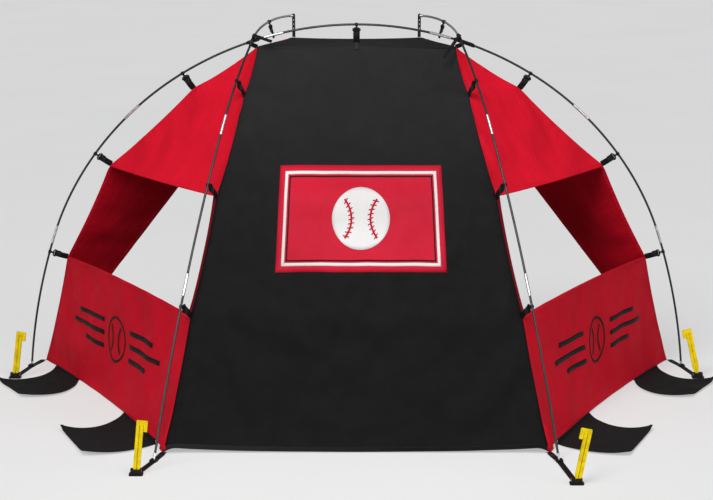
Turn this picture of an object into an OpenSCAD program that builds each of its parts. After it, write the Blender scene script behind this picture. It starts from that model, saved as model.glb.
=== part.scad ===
// Free-standing fabric backstop on three sprung tent poles, pegged at four feet.
// X runs across, +Y points to the open front, Z is up, and the origin is on the
// ground under the middle of the whole outline.

/* [Poles] */
// Outside diameter of every pole section
pole_d = 9.5; // [8:0.5:11]
// Bore of the pole sections, for the shock cord
pole_bore = 4.6; // [4:0.1:5.5]
// Length of one pole section
section_l = 715; // [680:5:760]
// Diameter of the shock cord inside the poles
cord_d = 3; // [2:0.5:3.5]
// Wall of the steel ferrules
ferrule_wall = 0.75; // [0.6:0.05:1.2]
// Length of the steel ferrules
ferrule_l = 92; // [70:1:120]
// Diameter of the pin on each pole end
pin_d = 6; // [4:0.5:7]

/* [Arch] */
// How far the arch leans back from upright, degrees
arch_lean = 18.5; // [12:0.5:24]
// Bend of the middle section, degrees
arch_top_turn = 31.5; // [29:0.5:34]
// Bend of the section on each side of the middle one, degrees
arch_shoulder_turn = 29; // [27:0.5:31]
// Bend of the next section down, degrees
arch_side_turn = 26.5; // [25:0.5:28]
// Bend of the lowest section, degrees
arch_foot_turn = 12; // [10:0.5:14]

/* [Rear legs] */
// Distance along the arch from its middle to each hub
hub_offset = 437; // [420:1:450]
// Length of the bent visor stub in front of each hub
visor_l = 241; // [230:1:255]
// Angle between the legs' plane and straight back, degrees
leg_splay = 19.5; // [16:0.5:22]
// Bend of the lowest leg section, degrees
leg_foot_turn = 6.8; // [5:0.2:9]
// Bend of the middle leg section, degrees
leg_mid_turn = 7.6; // [6:0.2:10]
// Bend of the leg between the middle section and the hub, degrees
leg_hub_turn = 15.6; // [13:0.2:18]
// Bend of the visor stub in front of the hub, degrees
visor_turn = 57; // [50:0.5:62]
// Inward roll of the visor stub's bend, degrees
visor_roll = 62; // [54:0.5:68]

/* [Hubs and straps] */
// Gap between the two pole axes at a hub
hub_gap = 14; // [13.4:0.2:18]
// Length of the moulded hub sleeves
hub_sleeve_l = 34; // [28:1:36]
// Length of the tie wrapped round the arch at the right hub
wrap_l = 62; // [40:1:110]
// Length of the loose tie tail at the right hub
tail_l = 133; // [90:1:140]
// Distance from a pole's axis to the cloth it carries
strap_reach = 82; // [72:1:92]
// Distance from a visor tip to the roof corner below it
visor_drop = 92; // [84:1:100]
// How far the leg straps slant down their pole
leg_skew = 12; // [0:1:20]
// Width of the strap webbing
strap_w = 28; // [22:1:30]
// Width of the two straps on the visor poles
visor_strap_w = 12; // [10:1:20]
// Thickness of the strap webbing
strap_t = 1.6; // [1.2:0.1:2]

/* [Feet] */
// Thickness of the rubber straps
ladder_t = 3; // [2.5:0.5:4]
// Width of the rubber foot straps
foot_strap_w = 24; // [22:1:26]
// Width of the rubber straps at the visor tips
visor_ladder_w = 20; // [18:1:24]
// Diameter of the adjusting holes
ladder_hole_d = 9; // [8.5:0.5:11]
// Spacing of the adjusting holes
ladder_pitch = 18; // [16:1:24]
// Length of foot strap between a far pole pin and its peg socket
far_to_socket = 216; // [140:2:220]
// Length of foot strap between the near left pole pin and its peg socket
near_left_to_socket = 184; // [140:2:200]
// Length of foot strap between the near right pole pin and its peg socket
near_right_to_socket = 296; // [200:2:310]
// Length of foot strap between the cloth corner and the pole pin
corner_to_pin = 112; // [96:2:130]
// Height of the moulded peg sockets
socket_h = 24; // [18:1:30]

/* [Pegs] */
// Overall length of a peg
peg_l = 212; // [180:2:240]
// Width of a peg's shaft
peg_w = 27; // [22:1:30]
// Depth of a peg's shaft
peg_depth = 15; // [12:1:18]
// Width of the peg's hook beyond its shaft
peg_hook_w = 15; // [10:1:20]

/* [Cloth] */
// Thickness of the cloth
cloth_t = 1.5; // [1.2:0.1:2]
// Width of the cloth left behind each window
jamb_w = 18; // [16:1:40]
// Height of the ground hem above the floor
hem_z = 5; // [4.8:0.1:8]
// How far the hem lifts off the floor beside the rear corners
corner_lift = 20; // [0:1:30]
// Inward bow of the side ground hems
side_hem_bow = 45; // [20:5:80]
// Forward bow of the back ground hem
back_hem_bow = 12; // [0:2:60]
// Depth of the folds that run down from the hubs
fold_depth = 9; // [4:1:12]
// Thickness of the ground flaps
flap_t = 2; // [1.6:0.1:3]

/* [Hidden] */

pole_color = [0.13, 0.13, 0.14];
steel_color = [0.78, 0.79, 0.8];
plastic_color = [0.08, 0.08, 0.09];
webbing_color = [0.1, 0.1, 0.11];
red_cloth = [0.8, 0.08, 0.14];
black_cloth = [0.15, 0.14, 0.15];
flap_cloth = [0.24, 0.23, 0.24];
peg_color = [0.95, 0.85, 0.1];

arc_steps = 240;        // facets of a full turn, used on the large pole bends
round_steps = 32;       // facets of small round parts
running_gap = 0.2;      // gap on the diameter where one part slides over another
bend_gap = 0.6;         // the same where a straight or evenly bent part goes over a bent pole
cut_over = 2;           // a bore's cutter runs past each end by this
cord_gap = 0.1;         // the elastic cord's lengths stop this short of a pole joint
foot_run = 24;          // distance from a pole's end along its line to the ground
pin_floor_gap = 2.5;    // length that the pin's tip stops short of the ground
cap_grip = 8;           // how far an end cap reaches up the pole
cap_floor = 3;          // thickness of the cap's closed end
cap_wall = 1;           // wall of an end cap
far_heading = 19;       // outward turn of the far corners' tabs, degrees
far_strap_heading = 11.4; // outward turn of the far foot straps, degrees
near_left_heading = 16; // outward turn of the near left foot strap, degrees
near_right_heading = 7.3;   // outward turn of the near right foot strap, degrees
near_heading = 14;      // outward turn of the near corners' tabs, degrees
leg_strap_roll = 8;     // turn of the leg straps round their pole, towards the back panel
hem_drop = 16;          // the window's top corner lies this much below its strap's middle
far_hem_inset = 14;     // the front corner of the cloth lies inside its tab's end
arch_strap_share = [0.248, 0.465, 0.686];   // strap places along half the arch, from its foot
leg_strap_share = [0.328, 0.6045, 0.868];   // strap places along a leg, from its foot to the hub
visor_strap_share = 0.52;                   // strap place along the visor stub
hub_reach = 30;         // distance from the arch's axis to the cloth corner at a hub
span_n = 6;             // cloth rows between one strap and the next
side_n = 6;             // cloth columns across a side panel
brim_n = 4;             // cloth rows across the roof and the front strips
tab_t = 1.5;            // thickness of the corner tabs
tab_w = 25;             // width of the corner tabs

// ---- small vector helpers ----
function unit(v) = v / norm(v);
function mix(a, b, u) = a + (b - a) * u;
function flip_x(p) = [-p[0], p[1], p[2]];
function move_by(v) = [[1, 0, 0, v[0]], [0, 1, 0, v[1]], [0, 0, 1, v[2]], [0, 0, 0, 1]];
function turn_x(a) = [[1, 0, 0, 0], [0, cos(a), -sin(a), 0], [0, sin(a), cos(a), 0], [0, 0, 0, 1]];
function turn_y(a) = [[cos(a), 0, sin(a), 0], [0, 1, 0, 0], [-sin(a), 0, cos(a), 0], [0, 0, 0, 1]];
function turn_z(a) = [[cos(a), -sin(a), 0, 0], [sin(a), cos(a), 0, 0], [0, 0, 1, 0], [0, 0, 0, 1]];
function place_of(m) = [m[0][3], m[1][3], m[2][3]];
function column(m, k) = [m[0][k], m[1][k], m[2][k]];
// frame at a place, from its x direction and a rough z direction
function frame_from(p, x_dir, z_dir) =
  let (x = unit(x_dir), z = unit(z_dir - x * (z_dir * x)), y = cross(z, x))
  [[x[0], y[0], z[0], p[0]], [x[1], y[1], z[1], p[1]], [x[2], y[2], z[2], p[2]], [0, 0, 0, 1]];

// ---- a pole as a run of arcs, each [length, turn, roll] ----
// The run's frame has x along the pole and z square to it, on the outside of the bend.
function bend_rate(arc) = arc[1] / arc[0];
function bend_radius(rate) = 180 / (PI * rate);
function arc_step(l, rate) =
  let (r = bend_radius(rate), t = l * rate) [
    [cos(t), 0, sin(t), r * sin(t)],
    [0, 1, 0, 0],
    [-sin(t), 0, cos(t), r * (cos(t) - 1)],
    [0, 0, 0, 1]];
// frame at distance s along a run
function along(arcs, s, i = 0) =
  let (a = arcs[i], stops = s <= a[0] || i == len(arcs) - 1)
  turn_x(a[2]) * arc_step(stops ? s : a[0], bend_rate(a)) * (stops ? turn_x(0) : along(arcs, s - a[0], i + 1));
// frame at the start of one arc of a run
function arc_start(arcs, i) =
  (i == 0 ? turn_x(0) : arc_start(arcs, i - 1) * arc_step(arcs[i - 1][0], bend_rate(arcs[i - 1])))
    * turn_x(arcs[i][2]);
function arc_from(arcs, i) = i == 0 ? 0 : arc_from(arcs, i - 1) + arcs[i - 1][0];

// ---- the arch ----
// each lowest section is shorter by the pin that carries it on the ground
end_l = section_l - foot_run;
arch_arcs = [
  [end_l, arch_foot_turn, 0], [section_l, arch_side_turn, 0], [section_l, arch_shoulder_turn, 0],
  [section_l, arch_top_turn, 0],
  [section_l, arch_shoulder_turn, 0], [section_l, arch_side_turn, 0], [end_l, arch_foot_turn, 0]];
arch_l = 7 * section_l - 2 * foot_run;
arch_rise = arch_top_turn / 2 + arch_shoulder_turn + arch_side_turn + arch_foot_turn;
arch_local_end = place_of(turn_y(-arch_rise) * along(arch_arcs, arch_l));
arch_heading = column(turn_x(arch_lean) * turn_y(-arch_rise), 0);
half_span = arch_local_end[0] / 2 + arch_heading[0] * foot_run;
arch_foot = [-half_span, 0, 0];
arch_start = move_by(arch_foot + arch_heading * foot_run) * turn_x(arch_lean) * turn_y(-arch_rise);
// s counts from the ground along the pole
function arch_frame(s) = arch_start * along(arch_arcs, s - foot_run);

// ---- the left leg; the right one is its mirror ----
arch_mid = 3.5 * section_l;
arch_strap_at = arch_strap_share * arch_mid;
hub_s = arch_mid - hub_offset;
hub_frame = arch_frame(hub_s);
hub_arch = place_of(hub_frame);
// a point inside the shelter that the cloth's inner face looks at
heart = [0, hub_arch[1] * 1.25, hub_arch[2] * 0.32];
hub_leg = hub_arch + column(hub_frame, 2) * hub_gap;
leg_l = 3 * section_l;
leg_to_hub = leg_l - visor_l;
leg_strap_at = leg_strap_share * leg_to_hub;
leg_arcs = [
  [end_l, leg_foot_turn, 0], [section_l, leg_mid_turn, 0],
  [leg_to_hub - 2 * section_l, leg_hub_turn, 0],
  [leg_l - leg_to_hub, visor_turn, -visor_roll]];
// the leg's pin reaches straight on from its first bend, down to the ground
leg_chord = place_of(along(leg_arcs, leg_to_hub - foot_run)) + [foot_run, 0, 0];
leg_rise = asin(hub_leg[2] / norm(leg_chord)) - atan2(leg_chord[2], leg_chord[0]);
leg_turned = turn_z(90 - leg_splay) * turn_y(-leg_rise);
leg_heading = column(leg_turned, 0);
leg_foot = hub_leg - place_of(leg_turned * move_by(leg_chord));
leg_start = move_by(leg_foot + leg_heading * foot_run) * leg_turned;
function leg_frame(s) = leg_start * along(leg_arcs, s - foot_run);
visor_s = mix(leg_to_hub, leg_l, visor_strap_share);
visor_tip = place_of(leg_frame(leg_l));

// ---- feet: where the straps, corners, sockets and pegs stand ----
function heading_dir(a) = [-sin(a), -cos(a), 0];
far_dir = heading_dir(far_heading);
near_dir = heading_dir(near_heading);
far_corner = arch_foot - far_dir * corner_to_pin;
near_corner = leg_foot - near_dir * corner_to_pin;
far_socket_at = arch_foot + heading_dir(far_strap_heading) * far_to_socket;
near_left_socket_at = leg_foot + heading_dir(near_left_heading) * near_left_to_socket;
near_right_socket_at = leg_foot + heading_dir(near_right_heading) * near_right_to_socket;
socket_size = [peg_w + 27, peg_depth + 25];
// the outline's middle: from the cloth corner tabs in front to the near sockets behind
front_y = far_corner[1] + tab_w / 2;
back_y = near_right_socket_at[1] - socket_size[1] / 2;
mid_y = (front_y + back_y) / 2;

// ---- cloth ridges on the left side ----
function hung(frame, reach) = place_of(frame) - column(frame, 2) * reach;
hub_point = hung(hub_frame, hub_reach);
arch_strap_frames = [for (s = arch_strap_at) arch_frame(s)];
leg_strap_frames = [for (s = leg_strap_at) leg_frame(s) * turn_x(-leg_strap_roll)];
arch_hang = [for (s = arch_strap_at) hung(arch_frame(s - (s == arch_strap_at[1] ? hem_drop : 0)), strap_reach)];
leg_hang = [for (f = leg_strap_frames) hung(f, strap_reach) - column(f, 0) * leg_skew];
top_hang = hung(arch_frame(arch_mid), strap_reach);
far_hem = far_corner + [far_hem_inset, 0, hem_z];
near_hem = near_corner + [0, 0, hem_z];
function down_frame(frame) = frame_from(place_of(frame), column(frame, 0), [0, 0, 1]);
visor_frame = down_frame(leg_frame(visor_s));
tip_frame = down_frame(leg_frame(leg_l));
roof_corner = hung(tip_frame, visor_drop);

// a span of cloth edge between two straps, pulled in a little between them
edge_pull = 8;
function span(a, b, n, pull = edge_pull) =
  [for (i = [0:n - 1]) let (u = i / n) mix(a, b, u) + unit(heart - mix(a, b, 0.5)) * (4 * pull * u * (1 - u))];
arch_ridge = concat(
  span(hub_point, arch_hang[2], span_n), span(arch_hang[2], arch_hang[1], span_n),
  span(arch_hang[1], arch_hang[0], span_n), span(arch_hang[0], far_hem, span_n), [far_hem]);
leg_ridge = concat(
  span(hub_point, leg_hang[2], span_n), span(leg_hang[2], leg_hang[1], span_n),
  span(leg_hang[1], leg_hang[0], span_n), span(leg_hang[0], near_hem, span_n), [near_hem]);
row_n = 4 * span_n;
top_half = span(hub_point, top_hang, span_n, 4);
top_ridge = concat(top_half, [top_hang], [for (i = [span_n - 1:-1:0]) flip_x(top_half[i])]);
// straight front edge, with a point level with each point of the arch ridge
front_edge = [for (p = arch_ridge)
  mix(roof_corner, far_hem, (hub_point[2] - p[2]) / (hub_point[2] - far_hem[2]))];
brim_seam = [for (i = [0:brim_n]) mix(hub_point, roof_corner, i / brim_n)];
brim_front = [for (i = [0:2 * span_n])
  let (u = i / (2 * span_n)) mix(roof_corner, flip_x(roof_corner), u) - [0, 0, 6 * 4 * u * (1 - u)]];
function hem_bow(a, b, n, bow) =
  [for (i = [0:n]) let (u = i / n) mix(a, b, u) + bow * (4 * u * (1 - u))];
// beside a rear corner the taut hem stands off the floor and settles back over a stretch
lift_run = 300;
function rear_lift(p) = let (d = norm([abs(p[0]) - abs(near_hem[0]), p[1] - near_hem[1]]))
  p + [0, 0, d < 1 ? 0 : corner_lift * exp(-d / lift_run)];
inward = unit(cross(near_hem - far_hem, [0, 0, -1]));
side_hem = [for (p = hem_bow(far_hem, near_hem, side_n, inward * side_hem_bow)) rear_lift(p)];
back_hem = [for (p = hem_bow(near_hem, flip_x(near_hem), 2 * span_n, [0, back_hem_bow, 0])) rear_lift(p)];
window_top = hem_bow(arch_ridge[2 * span_n], leg_ridge[2 * span_n], side_n, [0, 0, -4]);
window_sill = hem_bow(arch_ridge[3 * span_n], leg_ridge[3 * span_n], side_n, [0, 0, 14]);
window_back = part_of(leg_ridge, 2 * span_n, 3 * span_n);
function inset_towards(p, q) = p + unit(q - p) * jamb_w;
jamb_edge = [for (k = [0:span_n])
  inset_towards(window_back[k], k == 0 ? window_top[side_n - 1] : k == span_n ? window_sill[side_n - 1] :
    arch_ridge[2 * span_n + k])];

// ---- cloth surfaces ----
// a patch through four edges: left and right run down the rows, top and bottom across
function patch(left, right, top, bottom) =
  let (n = len(left) - 1, m = len(top) - 1)
  [for (k = [0:n]) let (v = k / n)
    [for (i = [0:m]) let (u = i / m)
      i == 0 ? left[k] : i == m ? right[k] : k == 0 ? top[i] : k == n ? bottom[i] :
      mix(left[k], right[k], u) + mix(top[i], bottom[i], v)
        - mix(mix(left[0], right[0], u), mix(left[n], right[n], u), v)]];
function part_of(list, from, to) = [for (i = [from:to]) list[i]];
function to_inside(p) = p + unit(heart - p) * cloth_t;
// one point where a row has shrunk to a point, otherwise the row
function row_points(row) = norm(row[0] - row[len(row) - 1]) < 0.01 ? [row[0]] : row;

// a closed sheet of cloth from rows of points on its outer face
module sheet(rows, flipped = false) {
  outer = [for (r = rows) row_points(r)];
  m = max([for (r = outer) len(r)]) - 1;
  n = len(outer) - 1;
  starts = [for (k = 0, s = 0; k <= n; s = s + len(outer[k]), k = k + 1) s];
  flat = [for (r = outer) for (p = r) p];
  half = len(flat);
  function at(k, i) = starts[k] + min(i, len(outer[k]) - 1);
  function quad(a, b, c, d) = [for (t = [[a, b, c], [a, c, d]])
    if (t[0] != t[1] && t[1] != t[2] && t[0] != t[2]) flipped ? [t[2], t[1], t[0]] : t];
  outside = [for (k = [0:n - 1]) for (i = [0:m - 1])
    each quad(at(k, i), at(k, i + 1), at(k + 1, i + 1), at(k + 1, i))];
  inside = [for (k = [0:n - 1]) for (i = [0:m - 1])
    each quad(half + at(k, i), half + at(k + 1, i), half + at(k + 1, i + 1), half + at(k, i + 1))];
  across = [for (i = [0:m - 1]) each concat(
    len(outer[0]) > 1 ? quad(at(0, i), half + at(0, i), half + at(0, i + 1), at(0, i + 1)) : [],
    len(outer[n]) > 1 ? quad(at(n, i), at(n, i + 1), half + at(n, i + 1), half + at(n, i)) : [])];
  down = [for (k = [0:n - 1]) each concat(
    quad(at(k, 0), at(k + 1, 0), half + at(k + 1, 0), half + at(k, 0)),
    quad(at(k, m), half + at(k, m), half + at(k + 1, m), at(k + 1, m)))];
  // each fold of the inner face follows the outer one's diagonal
  polyhedron(concat(flat, [for (p = flat) to_inside(p)]), concat(outside, inside, across, down));
}

module placed() { translate([0, -mid_y, 0]) children(); }
module right_side() { mirror([1, 0, 0]) children(); }
module both_sides() { children(); right_side() children(); }

// folds that run down and inwards from the two hubs, and a slack hollow low down
function fold_at(u, v) =
  let (a = abs(u - 0.5) * 2, crease = (1 - a) - 1.5 * v)
  fold_depth * sin(180 * min(1, max(0, v * 3))) * exp(-pow(crease * 5, 2))
    + fold_depth * 1.4 * sin(180 * v) * sin(180 * u);
module back_panel() {
  base = patch(leg_ridge, [for (p = leg_ridge) flip_x(p)], top_ridge, back_hem);
  rows = [for (k = [0:row_n]) [for (i = [0:2 * span_n])
    base[k][i] + unit(heart - base[k][i]) * fold_at(i / (2 * span_n), k / row_n)]];
  color(black_cloth) placed() sheet(rows);
}
module roof_panel() {
  color(black_cloth) placed()
    sheet(patch(brim_seam, [for (p = brim_seam) flip_x(p)], top_ridge, brim_front), flipped = true);
}
module window_jamb() {
  color(red_cloth) placed() sheet([for (k = [0:span_n]) [jamb_edge[k], window_back[k]]]);
}
module upper_panel() {
  color(red_cloth) placed() sheet(patch(
    part_of(arch_ridge, 0, 2 * span_n), part_of(leg_ridge, 0, 2 * span_n),
    [for (i = [0:side_n]) hub_point], window_top));
}
module lower_panel() {
  color(red_cloth) placed() sheet(patch(
    part_of(arch_ridge, 3 * span_n, row_n), part_of(leg_ridge, 3 * span_n, row_n),
    window_sill, side_hem));
}
module front_strip() {
  color(red_cloth) placed() sheet(patch(
    front_edge, arch_ridge,
    [for (i = [brim_n:-1:0]) brim_seam[i]], [for (i = [0:brim_n]) far_hem]));
}

// ---- poles ----
module arc_rod(l, rate, d) {
  r = bend_radius(rate);
  multmatrix([[0, 1, 0, 0], [0, 0, 1, 0], [1, 0, 0, -r], [0, 0, 0, 1]])
    rotate_extrude(angle = l * rate, $fn = arc_steps) translate([r, 0]) circle(d = d, $fn = round_steps);
}
// a stretch of arc i of a run, between two distances from that arc's start
module stretch(start, arcs, i, from, to, d) {
  rate = bend_rate(arcs[i]);
  multmatrix(start * arc_start(arcs, i) * arc_step(from, rate)) arc_rod(to - from, rate, d);
}
module tube_stretch(start, arcs, i, from, to, d_out, d_in) {
  difference() {
    stretch(start, arcs, i, from, to, d_out);
    stretch(start, arcs, i, from - cut_over, to + cut_over, d_in);
  }
}
module pole_section(start, arcs, i) {
  tube_stretch(start, arcs, i, 0, arcs[i][0], pole_d, pole_bore);
}
module arch_section(i) { color(pole_color) placed() pole_section(arch_start, arch_arcs, i); }
module leg_section(i) { color(pole_color) placed() pole_section(leg_start, leg_arcs, i); }
module visor_poles() { color(pole_color) both_sides() placed() pole_section(leg_start, leg_arcs, 3); }
// a ferrule is one even bend, the mean of the two sections that it joins
module ferrule(start, arcs, i) {
  rate = (bend_rate(arcs[i - 1]) + bend_rate(arcs[i])) / 2;
  bore = pole_d + bend_gap;
  color(steel_color) multmatrix(start * arc_start(arcs, i) * arc_step(-ferrule_l / 2, rate)) difference() {
    arc_rod(ferrule_l, rate, bore + 2 * ferrule_wall);
    multmatrix(arc_step(-cut_over, rate)) arc_rod(ferrule_l + 2 * cut_over, rate, bore);
  }
}
module arch_ferrules() { placed() for (i = [1:6]) ferrule(arch_start, arch_arcs, i); }
module leg_ferrules() { placed() both_sides() for (i = [1:2]) ferrule(leg_start, leg_arcs, i); }
// the elastic cord, one length for each bend of its pole
module shock_cord(start, arcs) {
  color(webbing_color) placed() for (i = [0:len(arcs) - 1])
    stretch(start, arcs, i, cord_gap, arcs[i][0] - cord_gap, cord_d);
}

// closed cap over a pole's end with a pin on it; x points up the pole
module end_cap(pin_l) {
  bore = pole_d + bend_gap;
  rotate([0, 90, 0]) difference() {
    union() {
      translate([0, 0, -cap_floor]) cylinder(d = bore + 2 * cap_wall, h = cap_floor + cap_grip, $fn = round_steps);
      translate([0, 0, -cap_floor - pin_l]) cylinder(d = pin_d, h = pin_l + cap_floor / 2, $fn = round_steps);
    }
    cylinder(d = bore, h = cap_grip + cut_over, $fn = round_steps);
  }
}
foot_pin_l = foot_run - pin_floor_gap - cap_floor;
module pole_end_pins() {
  color(steel_color) both_sides() placed() {
    multmatrix(arch_start) end_cap(foot_pin_l);
    multmatrix(leg_start) end_cap(foot_pin_l);
  }
}
visor_pin_l = 10;
module visor_end_pins() {
  color(steel_color) both_sides() placed()
    multmatrix(tip_frame) rotate([0, 0, 180]) end_cap(visor_pin_l);
}

// ---- hubs ----
sleeve_d = pole_d + 6.5;
sleeve_bore = pole_d + 1;
arch_axis = hub_frame;
leg_axis = frame_from(hub_leg, column(leg_frame(leg_to_hub), 0), column(hub_frame, 2));
module on_axis(m) { multmatrix(m) rotate([0, 90, 0]) children(); }
module hub_sleeves(d, l) {
  on_axis(arch_axis) cylinder(d = d, h = l, center = true, $fn = round_steps);
  on_axis(leg_axis) cylinder(d = d, h = l, center = true, $fn = round_steps);
}
module hub_body() {
  difference() {
    hub_sleeves(sleeve_d, hub_sleeve_l);
    hub_sleeves(sleeve_bore, hub_sleeve_l + 20);
  }
}
// the loose ends of the ties lie side on to the back panel: this frame has z square to it
panel_up = unit(hub_point - leg_hang[2]);
tie_frame = frame_from(hub_leg, [1, 0, 0], cross([1, 0, 0], [0, panel_up[1], panel_up[2]]));
stud_d = 5;
stud_head = 2;
tail_w = 15;
tail_gap = 0.4;                 // play of a tie end on its stud
tail_z = sleeve_d / 2 + 6;      // the tie ends clear the sleeves by lying this far out
module tie_stud() {
  root = sleeve_d / 2 - 1.2;
  top = tail_z + strap_t + tail_gap;
  multmatrix(tie_frame) {
    translate([0, 0, root]) cylinder(d = stud_d, h = top - root + stud_head / 2, $fn = round_steps);
    translate([0, 0, root]) cylinder(d = stud_d + 4, h = tail_z - tail_gap - root, $fn = round_steps);
    translate([0, 0, top]) cylinder(d = stud_d + 4, h = stud_head, $fn = round_steps);
  }
}
module left_hub() {
  color(plastic_color) placed() union() { hub_body(); tie_stud(); }
}
module right_hub() {
  color(plastic_color) right_side() placed() union() { hub_body(); tie_stud(); }
}
// webbing strap end with a hole on the stud, hanging at an angle from straight down the panel
module tie_strip(l, angle) {
  multmatrix(tie_frame) rotate([0, 0, angle]) translate([0, 0, tail_z])
    linear_extrude(height = strap_t) difference() {
      union() {
        circle(d = tail_w, $fn = round_steps);
        translate([-tail_w / 2, -l]) square([tail_w, l]);
      }
      circle(d = stud_d + 2 * tail_gap, $fn = round_steps);
    }
}
left_wrap_l = 24;
left_tail_l = 84;
left_tail_angle = 68;
tail_angle = 31;
left_wrap_d = 15.5;
right_wrap_d = 18.5;
hub_arc = 2;    // the hub lies on this arc of the arch
sling_w = 20;
// webbing wound round the arch beside the hub
module tie_wrap(l, d) {
  end = hub_s - foot_run - arc_from(arch_arcs, hub_arc) - hub_sleeve_l / 2 - 0.5;
  tube_stretch(arch_start, arch_arcs, hub_arc, end - l, end, d, pole_d + running_gap);
}
// the tie's inner end slants under the hub's sleeve to the cloth corner
module tie_sling() {
  top_x = -hub_sleeve_l / 2 - 1.5;
  top_z = -7.2;
  multmatrix(hub_frame) rotate([90, 0, 0]) linear_extrude(height = strap_t, center = true)
    polygon([
      [top_x - sling_w, top_z], [top_x, top_z],
      [sling_w / 2, -hub_reach + 0.4], [-sling_w / 2, -hub_reach + 0.4]]);
}
module left_tie() {
  color(webbing_color) placed() {
    tie_wrap(left_wrap_l, left_wrap_d);
    tie_sling();
    tie_strip(left_tail_l, left_tail_angle);
  }
}
module right_tie() {
  color(webbing_color) right_side() placed() {
    tie_wrap(wrap_l, right_wrap_d);
    tie_sling();
  }
}
module tie_tail() { color(webbing_color) right_side() placed() tie_strip(tail_l, tail_angle); }

// ---- strap hooks: x along the pole, z outwards, webbing hangs towards -z ----
hook_rim = 3.5;         // plate beyond each edge of the webbing
hook_t = 4;
hook_arch = 7;          // rise of the plate's rounded top
bar_top = -26;
bar_h = 3.5;
slot_h = 5.2;
loop_in = 2.7;
function chord_radius(w, rise) = (w * w / 4 + rise * rise) / (2 * rise);
module hook_plate(w) {
  hook_w = w + 2 * hook_rim;
  shoulder = bar_top + slot_h + 0.6;
  r = chord_radius(hook_w, hook_arch);
  translate([-hook_w / 2, bar_top - bar_h]) square([hook_w, shoulder - bar_top + bar_h]);
  difference() {
    translate([0, shoulder + hook_arch - r]) circle(r = r, $fn = 96);
    translate([-2 * r, shoulder - 4 * r]) square([4 * r, 4 * r]);
  }
}
module pole_hook(w = strap_w) {
  difference() {
    union() {
      rotate([0, 90, 0]) cylinder(d = pole_d + 5.5, h = 12, center = true, $fn = round_steps);
      translate([0, 0, -pole_d / 2 - 5]) cube([7, hook_t, 8], center = true);
      rotate([90, 0, 0]) linear_extrude(height = hook_t, center = true) hook_plate(w);
    }
    rotate([0, 90, 0]) cylinder(d = pole_d + 2 * running_gap, h = 14, center = true, $fn = round_steps);
    // the jaw's mouth, where it snaps over the pole
    translate([0, 0, pole_d * 0.8]) cube([14, pole_d * 0.76, pole_d], center = true);
    translate([0, 0, bar_top + slot_h / 2]) cube([w + 1.5, hook_t + 2, slot_h], center = true);
  }
}
// webbing folded over the bar: a long leg down to the cloth and a short sewn tail
module strap_band(reach, skew = 0, strap_w = strap_w) {
  outer = loop_in + strap_t;
  tail = 26;
  w = strap_w / 2;
  translate([-w, 0, 0]) rotate([90, 0, 90]) linear_extrude(height = strap_w) {
    difference() {
      translate([0, bar_top]) circle(r = outer, $fn = round_steps);
      translate([0, bar_top]) circle(r = loop_in, $fn = round_steps);
      translate([-2 * outer, bar_top - 4 * outer]) square([4 * outer, 4 * outer]);
    }
    translate([loop_in, bar_top - tail]) square([strap_t, tail]);
  }
  // the long leg may slant down the pole
  translate([0, -loop_in, 0]) rotate([90, 0, 0]) linear_extrude(height = strap_t)
    polygon([[-w, bar_top], [w, bar_top], [w - skew, -reach + 0.4], [-w - skew, -reach + 0.4]]);
}
module at_each(frames) { for (f = frames) multmatrix(f) children(); }
module arch_hooks() {
  color(plastic_color) placed() {
    multmatrix(arch_frame(arch_mid)) pole_hook();
    both_sides() at_each(arch_strap_frames) pole_hook();
  }
}
module arch_straps() {
  color(webbing_color) placed() {
    multmatrix(arch_frame(arch_mid)) strap_band(strap_reach);
    both_sides() at_each(arch_strap_frames) strap_band(strap_reach);
  }
}
module leg_hooks() { color(plastic_color) placed() both_sides() at_each(leg_strap_frames) pole_hook(); }
module leg_straps() { color(webbing_color) placed() both_sides() at_each(leg_strap_frames) strap_band(strap_reach, leg_skew); }
module visor_hooks() { color(plastic_color) placed() both_sides() multmatrix(visor_frame) pole_hook(visor_strap_w); }
module visor_straps() {
  color(webbing_color) placed() both_sides() multmatrix(visor_frame) strap_band(visor_reach, 0, visor_strap_w);
}
// the roof's edge lies between the hub corner and the roof corner under the visor strap
visor_reach = strap_reach - 8;

// ---- perforated rubber straps ----
// strip along +x from x = 0 to x = to, with a hole at 0 and one every pitch
module ladder(to, w, holes) {
  linear_extrude(height = ladder_t) difference() {
    union() {
      translate([0, -w / 2]) square([to, w]);
      circle(d = w, $fn = round_steps);
    }
    for (i = [0:holes]) translate([i * ladder_pitch, 0]) circle(d = ladder_hole_d, $fn = round_steps);
  }
}
// the visor's ladders turn on their pins to face the back
ladder_twist = 12;
module visor_ladders() {
  color(plastic_color) placed() both_sides() multmatrix(tip_frame)
    translate([cap_floor + visor_pin_l / 2, 0, 0]) rotate([0, 0, ladder_twist])
      translate([-ladder_t / 2, 0, 0]) rotate([0, 90, 0]) ladder(visor_drop - 1, visor_ladder_w, 3);
}
// moulded block where a pole's pin stands in the foot strap
seat_size = [36, 28];
seat_h = 9;
tongue_l = corner_to_pin - 14;
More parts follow.
